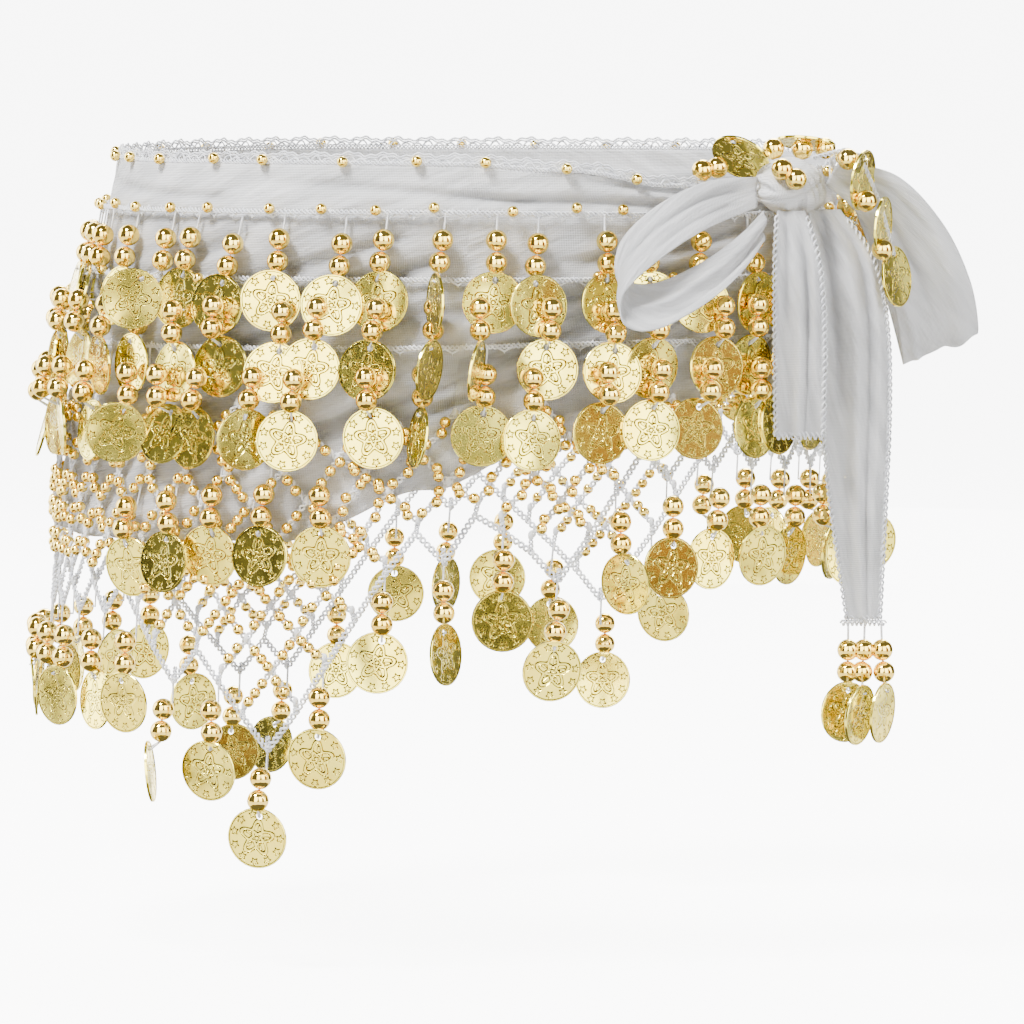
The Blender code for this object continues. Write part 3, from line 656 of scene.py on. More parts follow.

# %% [markdown]
# ## Cloth
#
# The waistband and the hip cloth are each one shell round the ring. Drawing the scarf up to the knot leaves
# creases that fall away from the bow and fade out round the hip. They are listed in a table, because
# their uneven spacing is what makes the wrap look tied and not moulded.

# %% Creases
CREASE_COLUMNS = "from at to reach sag half depth"
CREASES = table(
    CREASE_COLUMNS,
    (50, -23, 2, -36, -3, 1.9, -1.5),
    (48, -27, -12, -47, -4, 2.2, 0.9),
    (46, -31, -30, -58, -6, 2.8, -1.8),
    (42, -38, 6, -60, -2, 2.2, -1.3),
    (38, -44, -24, -79, -6, 3.2, -1.6),
    (30, -50, -14, -88, -3, 2.6, 0.9),
    (24, -61, -28, -104, -5, 2.8, -1.8),
    (8, -72, -40, -118, 3, 3.2, -1.6),
    (-8, -24, -52, -46, -4, 2.2, -1.5),
    (-2, -34, -46, -66, 3, 2.8, -1.6),
    (-14, -44, -72, -84, -5, 2.6, 0.9),
    (-22, -56, -70, -98, 4, 3, -1.8),
    (-34, -24, -84, -54, -3, 2.4, -1.5),
    (-40, -66, -96, -112, -4, 2.8, -1.6),
    (-60, -34, -120, -70, -4, 2.6, -1.6),
    (-78, -60, -140, -104, 4, 2.8, -1.4),
    (54, -24, 98, -38, -3, 2, -1.5),
    (56, -31, 112, -58, -4, 2.6, -1.6),
    (62, -44, 128, -72, -5, 2.8, 0.9),
    (88, -26, 150, -52, 4, 2.4, -1.4),
    (104, -40, 162, -76, -4, 2.8, -1.7),
    (126, -30, 188, -58, 3, 2.4, -1.3),
    (140, -62, 206, -100, -5, 3, -1.6),
    (166, -28, 226, -56, -3, 2.4, -1.5),
    (184, -48, 240, -86, 4, 2.8, -1.6),
    (204, -30, 256, -60, -4, 2.6, 0.9),
    (212, -80, 262, -118, 3, 2.8, -1.5),
)
BAND_CREASES = table(
    CREASE_COLUMNS,
    (52, -12, 8, -3, -1, 1.5, -1),
    (51, -15, 14, -8, -1, 1.4, 0.6),
    (50, -17, -16, -12, 1, 1.5, -1),
    (12, -14, -44, -5, 1, 1.6, -0.7),
    (-40, -12, -96, -4, -2, 1.8, -0.7),
    (54, -13, 96, -5, 1, 1.5, -1),
    (54, -16, 108, -11, -1, 1.5, 0.6),
    (110, -6, 170, -11, 1, 1.7, -0.7),
    (176, -4, 240, -12, 1, 1.7, -0.8),
)
TROUGH_DEPTH = 1.7


def creases(rows, angle, height):
    """How far the creases push the cloth out, in millimetres. Troughs are deeper than ridges are high."""
    pushed = 0.0
    for crease in rows:
        half_turn = 0.5 * (crease["to"] - crease["from"])
        share = 0.5 + 0.5 * wrapped(angle - crease["from"] - half_turn) / half_turn
        line = crease["at"] + (crease["reach"] - crease["at"]) * share
        line = line + crease["sag"] * 4.0 * share * (1.0 - share)
        fade = smooth(share / 0.08) * smooth((1.0 - share) / 0.45)
        wide = crease["half"] * (0.8 + 0.7 * np.clip(share, 0.0, 1.0))
        depth = crease["depth"] * (TROUGH_DEPTH if crease["depth"] < 0.0 else 1.0)
        pushed = pushed + depth * fade * np.exp(-(((height - line) / wide) ** 2))
    return pushed

# %% Waistband and hip cloth
SHELL_COLUMNS = 400
SHELL_OUT = -0.35
WEAVE_PER_DEGREE = 2.26
# How much a crease trough darkens the chiffon, as painted shade.
CREASE_SHADE = -0.42
SEAM = 0.3


def chiffon_sheet(name, points, uv, pushed, skin, wall, closed=False):
    """A grid of points as a thin sheet. A closed one runs round the ring and has its wall behind the face.

    It keeps how deep each point lies in a crease trough, from 0 to 1, which the chiffon paints as shade on
    its colour.
    """
    across = points.shape[1]
    corners = (0, across, across + 1, 1) if closed else (0, 1, across + 1, across)
    starts = np.arange(len(points) - 1)[:, None] * across + np.arange(across - 1)
    faces = (starts.reshape(-1, 1) + corners).tolist()
    made = mesh_piece(name, points.reshape(-1, 3), faces, uv.reshape(-1, 2))
    # Painted shade: the deeper a point lies in a crease trough, the darker the chiffon is painted there.
    layer = made.data.attributes.new("crease", "FLOAT", "POINT")
    layer.data.foreach_set("value", np.clip(CREASE_SHADE * pushed, 0.0, 1.0).ravel().astype(np.float32))
    if closed:
        weld = bmesh.new()
        weld.from_mesh(made.data)
        bmesh.ops.remove_doubles(weld, verts=weld.verts, dist=0.01 * MM)
        weld.to_mesh(made.data)
        weld.free()
    solid = made.modifiers.new("cloth", "SOLIDIFY")
    solid.thickness = wall * MM
    solid.offset = -1.0 if closed else 0.0
    return finish_piece(made, skin)


def cloth_round(name, top, bottom, rows, crease_rows, ruffle, skin):
    """A cloth shell round the ring between two edges, with its creases and a slightly uneven lower edge."""
    turns = np.linspace(0.0, 360.0, SHELL_COLUMNS + 1)
    angle, down = np.meshgrid(turns, np.linspace(0.0, 1.0, rows + 1))
    high = top(angle)
    low = bottom(angle) + ruffle * np.sin(np.radians(angle * 23.0)) * np.sin(np.radians(angle * 5.0))
    height = high + (low - high) * down
    pushed = creases(crease_rows, angle, height)
    points = ring_points(angle, height, pushed + SHELL_OUT)
    points[:, -1] = points[:, 0]
    uv = np.stack([angle * WEAVE_PER_DEGREE, height], -1)
    return chiffon_sheet(name, points, uv, pushed, skin, 0.4, True)


waistband = cloth_round(
    "waistband_cloth",
    lambda angle: edge("rim", angle),
    lambda angle: edge("band", angle) + 0.5 * SEAM,
    14,
    BAND_CREASES,
    0.0,
    chiffon,
)
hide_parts("waistband")
hip = cloth_round(
    "hip_cloth_cloth",
    lambda angle: edge("band", angle) - 0.5 * SEAM,
    lambda angle: edge("hem", angle),
    64,
    CREASES,
    0.5,
    shaded_hip_chiffon,
)
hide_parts("hip_cloth")

# %% [markdown]
# ## Crochet lines and lace
#
# A chain of stitches is sewn along the waistband's foot and twice more below it, and each carries a row of
# pendants. The rim has a narrow edging of small arches. Thread looks right when it is really thread, so each
# chain is two crossing strands and each arch is a bent strand.

# %% Chain lines
CHAIN_OUT = 2.2
LINE_POINTS = 480


def ring_line(column, out, lift=0.0):
    """A closed line round the ring along an edge."""
    angle = np.linspace(0.0, 360.0, LINE_POINTS + 1)
    return ring_points(angle, edge(column, angle) + lift, out)


def looping_line(column, out, loops, reach, lift):
    """A thread that swings above and below an edge, all round."""
    angle = np.linspace(0.0, 360.0, 8 * loops + 1)
    swing = np.sin(np.radians(angle) * loops) * reach
    drift_along = np.sin(2.0 * np.radians(angle) * loops) * 0.5
    return ring_points(angle + drift_along, edge(column, angle) + lift + swing, out)


chain_paths = []
for column in ("band", "row2", "row3"):
    chain_paths += braid(ring_line(column, CHAIN_OUT), 3.4, 0.75, 0.4)
    chain_paths.append(looping_line(column, CHAIN_OUT - 0.5, 96, 1.9, -0.6))
threads("crochet_lines", chain_paths, 0.38)

# %% Lace edging on the rim
ARCHES = 192
LACE_OUT = -0.5
LACE_HEIGHT = 4.3
SCALLOPS = 64


def lace_paths():
    """A chain on the rim, a row of arches above it, a wavy top strand, and posts between them."""
    paths = braid(ring_line("rim", -0.4, 0.7), 3.0, 0.6, 0.35)
    turn = 360.0 / ARCHES
    for arch in range(ARCHES):
        share = np.linspace(0.0, 1.0, 6)
        angle = (arch + share) * turn
        top = scallop_height((arch + 0.5) * turn) - 1.3
        height = edge("rim", angle) + 0.9 + (top - 0.9) * np.sin(math.pi * share)
        paths.append(ring_points(angle, height, LACE_OUT + 0.3 * np.cos(math.pi * arch)))
    angle = np.linspace(0.0, 360.0, 6 * ARCHES + 1)
    wave = np.sin(np.radians(angle * ARCHES))
    upper = edge("rim", angle) + scallop_height(angle) + 0.35 * wave
    paths.append(ring_points(angle, upper, LACE_OUT))
    paths.append(ring_points(angle, upper - 0.9, LACE_OUT + 0.3 * wave))
    return paths


def scallop_height(angle):
    """How high the lace's top edge stands above the rim."""
    return LACE_HEIGHT - 1.1 * (0.5 + 0.5 * np.cos(np.radians(angle * SCALLOPS)))


lace = threads("lace_edging", lace_paths(), 0.36)
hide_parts("top_lace_edging")

# %% [markdown]
# ## Net
#
# The net is crocheted in open diamonds, with small beads threaded on as the maker goes. It starts on the
# cloth, a little above the hem, and hangs free below it in points. Every crossing is worked out from the same
# grid: the half column gives the angle, and the half row counts down from the hem.

# %% Net grid
NET_HALF_COLUMNS = 88
NET_HALF_ROW = 12.0
NET_OVERLAP = 2.0
NET_OUT = 2.1
NET_TOP = -83.0


def net_angle(column):
    """The angle of a half column of net. The first lies at the left side."""
    return -90.0 + 360.0 * column / NET_HALF_COLUMNS


def net_height(column, step):
    """The height of a crossing of the net."""
    return float(edge("hem", net_angle(column))) + NET_OVERLAP - step * NET_HALF_ROW


def net_steps():
    """How many half rows hang below the hem at each half column. Corners end on even columns."""
    even = []
    for column in range(0, NET_HALF_COLUMNS, 2):
        angle = net_angle(column)
        depth = float(edge("hem", angle)) + NET_OVERLAP - float(edge("net", angle, soft=False))
        even.append(max(2, 2 * round(0.5 * depth / NET_HALF_ROW)))
    count = len(even)
    for _ in range(count):
        for index in range(count):
            even[index] = min(even[index], even[index - 1] + 2, even[(index + 1) % count] + 2)
    steps = []
    for index, deep in enumerate(even):
        after = even[(index + 1) % count]
        steps.append(deep)
        steps.append(deep - 1 if after == deep else min(deep, after) + 1)
    return steps


steps = net_steps()
jitter = random.uniform(-1.0, 1.0, (NET_HALF_COLUMNS, 24, 2))


def crossing(column, step):
    """The angle and height of a crossing, moved a little as hand work is."""
    sway, lift = jitter[column % NET_HALF_COLUMNS, step + 8]
    return net_angle(column) + 0.45 * sway, net_height(column, step) + 1.1 * lift


def net_strands():
    """Each strand as its two crossings, with True where it lies on the cloth."""
    strands = []
    for column in range(NET_HALF_COLUMNS):
        for step in range(-6, steps[column]):
            if (step + column) % 2 or net_height(column, step) > NET_TOP:
                continue
            for beside in (column - 1, column + 1):
                if step + 1 <= steps[beside % NET_HALF_COLUMNS]:
                    strands.append(((column, step), (beside, step + 1), step < 0))
    return strands


strands = net_strands()
print("net strands:", len(strands))

# %% Net threads, knots and small beads
SMALL_BEAD = 2.1
KNOT_SIZE = 1.25
# Where beads sit along a strand, from 0 to 1. Strands in the full sector are set closer, from side to side.
BEADS_ON_STRAND = (
    (0.30, 0.64),
    (0.26, 0.60),
    (0.26, 0.52, 0.78),
    (0.36, 0.68),
    (0.28, 0.56),
    (0.34, 0.60, 0.84),
)
FULL_STRAND = (0.20, 0.48, 0.76)
FULL_SECTOR = {"from": -16, "to": 66}


def strand_line(first, last):
    """Points along a strand, which bows a little under its beads."""
    start, end = crossing(*first), crossing(*last)
    share = np.linspace(0.0, 1.0, 7)
    angle, height = (start[axis] + (end[axis] - start[axis]) * share for axis in (0, 1))
    return ring_points(angle, height - 0.7 * np.sin(math.pi * share), NET_OUT)


net_parts = {"on_cloth": [], "front": [], "back": []}
bead_places = {part: [] for part in net_parts}
knots = {}
for first, last, on_panel in strands:
    line = strand_line(first, last)
    middle_angle = wrapped(0.5 * (net_angle(first[0]) + net_angle(last[0])))
    part = "on_cloth" if on_panel else ("front" if abs(middle_angle) < 90.0 else "back")
    net_parts[part] += braid(line, 4.6, 0.95, 0.45)
    group = BEADS_ON_STRAND[random.integers(len(BEADS_ON_STRAND))]
    side = random.choice((-1.0, 1.0))
    full = inside(middle_angle, FULL_SECTOR)
    for share in FULL_STRAND if full else group:
        spot = line[0] + (line[-1] - line[0]) * share
        outward = Vector((spot[0], spot[1], 0.0)).normalized()
        across = Vector((-outward.y, outward.x, 0.0))
        shift = outward * 0.9 + across * side * (1.1 if full else 0.6) + Vector((0.0, 0.0, -0.5))
        bead_places[part].append(Matrix.Translation(Vector(spot) + shift * MM))
        if full:
            side = -side
    for end in (line[0], line[-1]):
        knots.setdefault(tuple(end), Matrix.Translation(Vector(end)) @ Matrix.Diagonal((0.9, 0.9, 1.5, 1.0)))

small_bead = ball(SMALL_BEAD * MM, 2)
net_front = threads("net_front_threads", net_parts["front"], 0.5)
net_back = threads("net_back_threads", net_parts["back"], 0.5)
threads("net_on_cloth_threads", net_parts["on_cloth"], 0.45)
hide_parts("net_front")
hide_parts("net_back")
for part, places in bead_places.items():
    copies(f"net_beads_{part}", small_bead, places)
copies("net_knots", ball(KNOT_SIZE * MM, 2), knots.values(), thread)
print("small beads on the net:", sum(len(places) for places in bead_places.values()))

# %% Small beads on the chain lines and the rim
LINE_BEADS = table(
    "column count out lift first",
    ("rim", 30, 1.6, 1.2, 2.0),
    ("band", 38, 3.4, 1.4, 5.0),
    ("row2", 24, 3.4, 0.5, 3.0),
)
line_beads = []
for row in LINE_BEADS:
    for number in range(row["count"]):
        angle = row["first"] + 360.0 * number / row["count"] + random.uniform(-1.6, 1.6)
        height = float(edge(row["column"], angle)) + row["lift"] + random.uniform(-0.8, 0.8)
        line_beads.append(Matrix.Translation(on_ring(angle, height, row["out"])))
copies("line_beads", small_bead, line_beads)

# %% [markdown]
# ## Pendants
#
# A pendant is a short thread, two large beads and a coin that hangs by a hole near its rim. The coins turn on
# their threads, and that is why some mirror the bright room and some a dark corner. One bead and one coin are
# modelled, and copied to every place.

# %% Bead and coin models
BIG_BEAD = 3.95
COIN_RADIUS = 11.1
COIN_HOLE = 1.25
COIN_EYE = COIN_RADIUS - 1.9 - COIN_HOLE
COIN_SIDES = 30
# The coin's section: a share of its radius, and half its thickness there in millimetres.
COIN_PROFILE = table(
    "radius half",
    (0, 0.42),
    (0.45, 0.40),
    (0.90, 0.34),
    (0.94, 0.34),
    (0.955, 0.50),
    (0.985, 0.50),
    (1, 0.34),
)


def coin_model():
    """A turned disc with a raised rim and a hole near its top, lying in the XZ plane, with its UV."""
    profile = [(row["radius"], row["half"]) for row in COIN_PROFILE]
    profile += [(radius, -half) for radius, half in reversed(profile)]
    shape = bmesh.new()
    line = [shape.verts.new((radius * COIN_RADIUS * MM, half * MM, 0.0)) for radius, half in profile]
    edges = [shape.edges.new(pair) for pair in zip(line, line[1:])]
    turn = {"cent": (0, 0, 0), "axis": (0, 1, 0), "angle": 2 * math.pi, "steps": COIN_SIDES}
    bmesh.ops.spin(shape, geom=line + edges, **turn)
    bmesh.ops.remove_doubles(shape, verts=shape.verts, dist=0.01 * MM)
    bmesh.ops.recalc_face_normals(shape, faces=shape.faces)
    mesh = bpy.data.meshes.new("coin_model")
    shape.to_mesh(mesh)
    shape.free()
    disc = add_object("coin_model", mesh)
    bpy.ops.mesh.primitive_cylinder_add(vertices=10, radius=COIN_HOLE * MM, depth=4.0 * MM)
    drill = bpy.context.object
    drill.rotation_euler.x = math.radians(90.0)
    drill.location.z = COIN_EYE * MM
    disc.modifiers.new("hole", "BOOLEAN").object = drill
    mesh = settled_mesh(disc)
    bpy.data.objects.remove(drill)
    points = np.array([corner.co for corner in mesh.vertices])
    faces = [tuple(face.vertices) for face in mesh.polygons]
    return points, faces, 0.5 + 0.5 * points[:, [0, 2]] / (COIN_RADIUS * MM)


big_bead = ball(BIG_BEAD * MM, 3)
coin = coin_model()
print("coin faces:", len(coin[1]), "bead faces:", len(big_bead[1]))

# %% Hanging a pendant
FIRST_BEAD_DROP = 9.6
BEAD_SPACING = 8.0
NECK_DROP = 21.5
TURN_PER_MM = 0.447
FACING = 0.8
FARTHEST_PUSH = 7.0
COIN_SHARE = 0.2
BEAD_ROOM = 0.7
BENCH_X = 143.0
BENCH_Y = -75.0
placed_coins = []


def on_bench(along, height, out=0.0):
    """A point on the straight strip at the foot of the long tail."""
    return Vector((BENCH_X + along, BENCH_Y - out, height)) * MM


def push_past_coins(bead, outward):
    """How far out a large bead moves, in metres, to hang in front of the coins that it would cut."""
    push = 0.0
    room = (BIG_BEAD + BEAD_ROOM) * MM
    for coin_place in placed_coins:
        local = coin_place.inverted() @ bead
        faces_out = -(coin_place.to_3x3().col[1].dot(outward))
        near = math.hypot(local.x, local.z) < COIN_RADIUS * MM + room and abs(local.y) < 2.0 * room
        if faces_out > FACING and near:
            push = max(push, (room + local.y) / faces_out)
    return min(push, FARTHEST_PUSH * MM)


def hang(stop, kit, root_out=CHAIN_OUT, place=on_ring):
    """Adds one pendant to a kit of beads, coins and threads."""
    per_mm = 1.0 if place is on_bench else TURN_PER_MM
    turn = math.radians(stop["turn"])
    angle, height = stop["angle"], stop["height"]
    bead_out, coin_clear = kit["out"], kit["clear"]
    lean = random.uniform(-1.4, 1.4)
    first = place(angle + lean * 0.3 * per_mm, height - FIRST_BEAD_DROP, bead_out)
    second = place(angle + lean * per_mm, height - FIRST_BEAD_DROP - BEAD_SPACING, bead_out)
    radial = (place(angle, height, 1.0) - place(angle, height)).normalized()
    push = max(push_past_coins(first, radial), push_past_coins(second, radial))
    entry = first - radial * (bead_out - root_out) * MM
    first = first + radial * push
    second = second + radial * push
    coin_out = coin_clear + stop["layer"] + COIN_RADIUS * abs(math.sin(turn)) + COIN_SHARE * push / MM
    middle = height - NECK_DROP - COIN_RADIUS + 1.0
    centre = place(angle + lean * 1.2 * per_mm, middle, coin_out)
    down = place(angle, middle + COIN_RADIUS, coin_out) - place(angle, middle - COIN_RADIUS, coin_out)
    down.normalize()
    along = (place(angle + per_mm, middle) - place(angle - per_mm, middle)).normalized()
    outward = (Matrix.Rotation(turn, 3, down) @ along).cross(down).normalized()
    along = down.cross(outward).normalized() * -1.0
    basis = Matrix((along, -outward, down)).transposed()
    roll = Matrix.Rotation(math.radians(random.uniform(-13.0, 13.0)), 4, "Y")
    nod = Matrix.Rotation(math.radians(random.uniform(-6.0, 8.0)), 4, "X")
    pivot = Matrix.Translation((0.0, 0.0, COIN_EYE * MM))
    coin_place = Matrix.Translation(centre) @ basis.to_4x4() @ (pivot @ roll @ nod @ pivot.inverted())
    placed_coins.append(coin_place)
    kit["coins"].append(coin_place)
    kit["beads"] += [Matrix.Translation(first), Matrix.Translation(second)]
    eye = centre + down * (COIN_EYE * MM)
    under = second - Vector((0.0, 0.0, 0.9 * BIG_BEAD * MM))
    through = [eye + outward * 0.9 * MM, eye - down * 0.3 * MM, eye - outward * 0.9 * MM]
    root = place(angle, height, root_out)
    kit["threads"].append(np.array([root, entry, first, second, under, *through, under]))


def new_kit(bead_out, coin_clear):
    """An empty kit, with how far out its beads and its coins hang, in millimetres."""
    return {"beads": [], "coins": [], "threads": [], "out": bead_out, "clear": coin_clear}


def make_kit(name, kit, node):
    """Turns a kit into three pieces that stand for the plain solid."""
    copies(f"{name}_beads", big_bead, kit["beads"])
    coins = copies(f"{name}_coins", coin, kit["coins"], coin_gold)
    coins.data.set_sharp_from_angle(angle=math.radians(35.0))
    threads(f"{name}_threads", kit["threads"], 0.42)
    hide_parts(node)
    print(name, "pendants:", len(kit["coins"]))

# %% Three rows round the hip
ROW_PENDANTS = 22
ROW_TURNS = (0, 12, -8, 4, -58, 6, -12, 0, 10, 66, -5, 8, -10, 3, 54, -6, 9, -62, 5)
BETWEEN_TURNS = (14, -10, 70, 6, -16, 48, -4, 12, -66, 8, 20, -74, -12)
ON_CLOTH_OUT = 4.9
OVER_NET = (7.4, 4.4)
BOW_SECTOR = {"from": 14, "to": 116, "most": 6}
SIDE_SECTOR = {"from": -128, "to": -54, "most": 14}
STRING_SECTOR = {"from": 62, "to": 100}


def held(turn, angle, *sectors):
    """A coin's turn, kept small inside these sectors."""
    for sector in sectors:
        if inside(angle, sector):
            turn = max(-sector["most"], min(sector["most"], turn))
    return turn


ROWS = table(
    "name column start first bead_out coin_clear",
    ("row_1", "band", 4.0, 0, ON_CLOTH_OUT, 4.2),
    ("row_2", "row2", 12.2, 7, ON_CLOTH_OUT, 4.4),
    ("row_3", "row3", 4.0, 13, *OVER_NET),
)
for row in ROWS:
    kit = new_kit(row["bead_out"], row["coin_clear"])
    stops = []
    for number in range(2 * ROW_PENDANTS):
        angle = row["start"] + 180.0 * number / ROW_PENDANTS
        between = number % 2
        if row["name"] == "row_1" and inside(angle, STRING_SECTOR):
            continue
        turns = BETWEEN_TURNS if between else ROW_TURNS
        turn = turns[(number // 2 + row["first"]) % len(turns)]
        if between:
            angle += random.uniform(-2.6, 2.6)
        height = float(edge(row["column"], angle)) - (random.uniform(-0.6, 2.2) if between else 0.0)
        layer = 1.5 if between else 0.0
        turn = held(turn, angle, BOW_SECTOR, SIDE_SECTOR)
        stops.append({"angle": angle, "height": height, "turn": turn, "layer": layer})
    for stop in stops:
        hang(stop, kit)
    make_kit(row["name"], kit, "pendant_" + row["name"])

# %% Festoon, and the net's edge
FESTOON = table(
    "angle height turn layer",
    (-50, -114.5, 6, 0),
    (-42, -111.5, -5, 3.4),
    (-34, -109, 4, 0),
    (-26, -108, -4, 3.4),
    (-18, -108, 5, 0),
)
EDGE_TURNS = (4, -5, 3, 62, -4, 5, -60, 0)
EDGE_LAYER = 3.6
EDGE_DROP = 4.8

kit = new_kit(*OVER_NET)
for row in FESTOON:
    hang(row, kit)
make_kit("festoon", kit, "pendant_festoon")

HALF = NET_HALF_COLUMNS // 2
for name, first, last in (("front", 0, HALF), ("back", HALF, NET_HALF_COLUMNS)):
    kit = new_kit(*OVER_NET)
    corners = []
    for column in range(first, last + 1):
        number, between = divmod(column - first, 2)
        step = steps[column % NET_HALF_COLUMNS]
        angle, height = net_angle(column), net_height(column, step) - EDGE_DROP
        corners.append(ring_points(angle, height, CHAIN_OUT))
        start = ring_points(*crossing(column, step), NET_OUT)
        kit["threads"] += braid(np.array([start, corners[-1]]), 2.4, 0.7, 0.3)
        if not between and (name == "front" or column not in (first, last)):
            turn = held(EDGE_TURNS[number % len(EDGE_TURNS)], angle, SIDE_SECTOR)
            hang({"angle": angle, "height": height, "turn": turn, "layer": EDGE_LAYER * (number % 2)}, kit)
    make_kit(f"net_edge_{name}", kit, f"net_edge_{name}")
    threads(f"net_edge_{name}_chain", braid(np.array(corners), 4.4, 1.0, 0.45), 0.5)

# %% [markdown]
# ## Bow
#
# The scarf's two ends are tied in a bow. A loop or a tail is a strip along a path, whose width turns and
# narrows towards the knot, with folds that run along it. The same function makes all four, and a finer set of
# folds lies over the large ones.

# %% Ribbon tables
PATH_COLUMNS = "x y z width turn dip fold"
LEFT_LOOP = table(
    PATH_COLUMNS,
    (103.4, -86.2, -10.4, 12, 0, 62, 1),
    (84, -104, -15, 20, 0, 54, 1.5),
    (66, -118, -25, 24, 0, 50, 1.3),
    (54, -126, -37, 24, 0, 48, 1),
    (55, -128, -48, 23, 0, 46, 0.9),
    (66, -125, -50, 22, 0, 48, 1.2),
    (82, -116, -43, 20, 0, 50, 1.6),
    (96, -105, -33, 17, 0, 54, 1.4),
    (106, -92, -22, 12, 0, 62, 1),
)
RIGHT_LOOP = table(
    PATH_COLUMNS,
    (131.1, -72.8, -3.7, 9, 80, -60, 0.8),
    (148, -69, -12, 20, 80, -48, 1.6),
    (161, -63, -30, 27, 82, -36, 2.2),
    (169, -58, -50, 30, 84, -26, 2.4),
    (172, -52, -67, 30, 86, -20, 2.2),
    (171, -44, -66, 28, 86, -20, 2),
    (165, -42, -48, 26, 84, -28, 2),
    (154, -48, -26, 20, 82, -40, 1.6),
    (141, -57, -9, 9, 80, -54, 0.8),
)
LONG_TAIL = table(
    PATH_COLUMNS,
    (128, -77.9, -16.8, 12, 96, 0, 1.4),
    (136, -80, -36, 22, 98, 0, 2.4),
    (139, -78, -62, 26, 98, 0, 2.8),
    (140, -77, -92, 25, 96, 0, 2.6),
    (141, -76, -125, 20, 94, 0, 2.2),
    (143, -75, -165.5, 12, 92, 0, 1),
)
SHORT_TAIL = table(
    PATH_COLUMNS,
    (116, -85.2, -17.1, 10, 84, 0, 1.2),
    (118, -92, -36, 16, 84, 0, 1.8),
    (119, -91, -62, 18, 86, 0, 2),
    (119, -90, -98, 17, 88, 0, 1.8),
)

# A crease runs from one place across the strip to another, over a part of its length.
STRIP_CREASE_COLUMNS = "side to_side from to half depth"
LOOP_CREASES = table(
    STRIP_CREASE_COLUMNS,
    (0.30, 0.44, 0.02, 0.42, 1.7, -1.2),
    (0.66, 0.80, 0.04, 0.30, 1.4, -0.9),
    (0.12, 0.22, 0.30, 0.62, 1.5, 0.9),
    (0.58, 0.34, 0.50, 1.00, 1.8, -1.2),
    (0.82, 0.70, 0.62, 1.00, 1.3, 0.8),
)
LONG_CREASES = table(
    STRIP_CREASE_COLUMNS,
    (0.20, 0.30, 0.05, 0.62, 2.2, -1.9),
    (0.56, 0.48, 0.04, 1.00, 3, 1.3),
    (0.78, 0.72, 0.08, 0.80, 1.7, -1.5),
    (0.40, 0.34, 0.02, 0.26, 1.2, -1.2),
)
SHORT_CREASES = table(
    STRIP_CREASE_COLUMNS,
    (0.30, 0.22, 0.05, 0.72, 1.7, -1.6),
    (0.66, 0.74, 0.10, 1.00, 2, -1.4),
)

# %% Ribbon surface
FOLD_DRIFT = 1.5
STRIP_STEP = 2.0
STRIP_ACROSS = 40.0


def spline(path, column, share):
    """A smooth curve through one column of a path, from its first row at 0 to its last at 1."""
    values = column_of(path, column)
    last = len(path) - 1
    spot = np.clip(share, 0.0, 1.0) * last
    index = np.minimum(spot.astype(int), last - 1)
    part = spot - index
    before, low, high, after = (values[np.clip(index + step, 0, last)] for step in (-1, 0, 1, 2))
    bend = 2 * before - 5 * low + 4 * high - after
    twist = 3 * low - before - 3 * high + after
    return low + 0.5 * part * (high - before + part * (bend + part * twist))


def strip_creases(rows, share, side, width):
    """How far the creases push the strip out, in millimetres. One that reaches the end doesn't fade there."""
    pushed = 0.0
    for crease in rows:
        part = (share - crease["from"]) / (crease["to"] - crease["from"])
        line = crease["side"] + (crease["to_side"] - crease["side"]) * np.clip(part, 0.0, 1.0)
        to_end = crease["to"] >= 1.0
        fade = smooth(part / 0.2) if to_end else smooth(part / 0.15) * smooth((1.0 - part) / 0.35)
        pushed = pushed + crease["depth"] * fade * np.exp(-((((side - line) * width) / crease["half"]) ** 2))
    return pushed


def ribbon_points(path, share, side, waves, crease_rows):
    """Points in metres on the strip: share along it, and side from 0 to 1 across it."""
    spot, ahead, behind = (
        np.stack([spline(path, axis, share + step) for axis in "xyz"], -1) for step in (0.0, 0.01, -0.01)
    )
    turn = np.radians(spline(path, "turn", share))
    dip = np.radians(spline(path, "dip", share))
    across = np.stack([np.cos(dip) * np.sin(turn), -np.cos(dip) * np.cos(turn), -np.sin(dip)], -1)
    raised = unit(np.cross(unit(ahead - behind), across))
    width = spline(path, "width", share)
    uneven_side = side + 0.07 * np.sin(2.0 * math.pi * side + 1.1 + 1.5 * share)
    wave = np.sin(2.0 * math.pi * waves * uneven_side + FOLD_DRIFT * share)
    strength = 0.34 + 0.24 * np.sin(5.0 * share + 5.0 * side + 0.6)
    lift = spline(path, "fold", share) * strength * wave + strip_creases(crease_rows, share, side, width)
    return (spot + across * (width * (side - 0.5))[..., None] + raised * lift[..., None]) * MM


def ribbon(name, path, waves, rows, cuts, node, crease_rows):
    """A strip of chiffon along a path, as a thin shell."""
    share, side = np.meshgrid(np.linspace(0.0, 1.0, rows + 1), np.linspace(0.0, 1.0, cuts + 1), indexing="ij")
    points = ribbon_points(path, share, side, waves, crease_rows)
    uv = np.stack([share * rows * STRIP_STEP, side * STRIP_ACROSS], -1)
    pushed = strip_creases(crease_rows, share, side, spline(path, "width", share))
    made = chiffon_sheet(name, points, uv, pushed, chiffon, 0.6)
    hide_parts(node)
    return made


left_loop = ribbon("left_loop_cloth", LEFT_LOOP, 1.5, 96, 40, "bow_loop_left", LOOP_CREASES)
right_loop = ribbon("right_loop_cloth", RIGHT_LOOP, 1.5, 96, 40, "bow_loop_right", LOOP_CREASES)
long_tail = ribbon("long_tail_cloth", LONG_TAIL, 2.5, 90, 56, "tail_long", LONG_CREASES)
short_tail = ribbon("short_tail_cloth", SHORT_TAIL, 2.5, 60, 44, "tail_short", SHORT_CREASES)


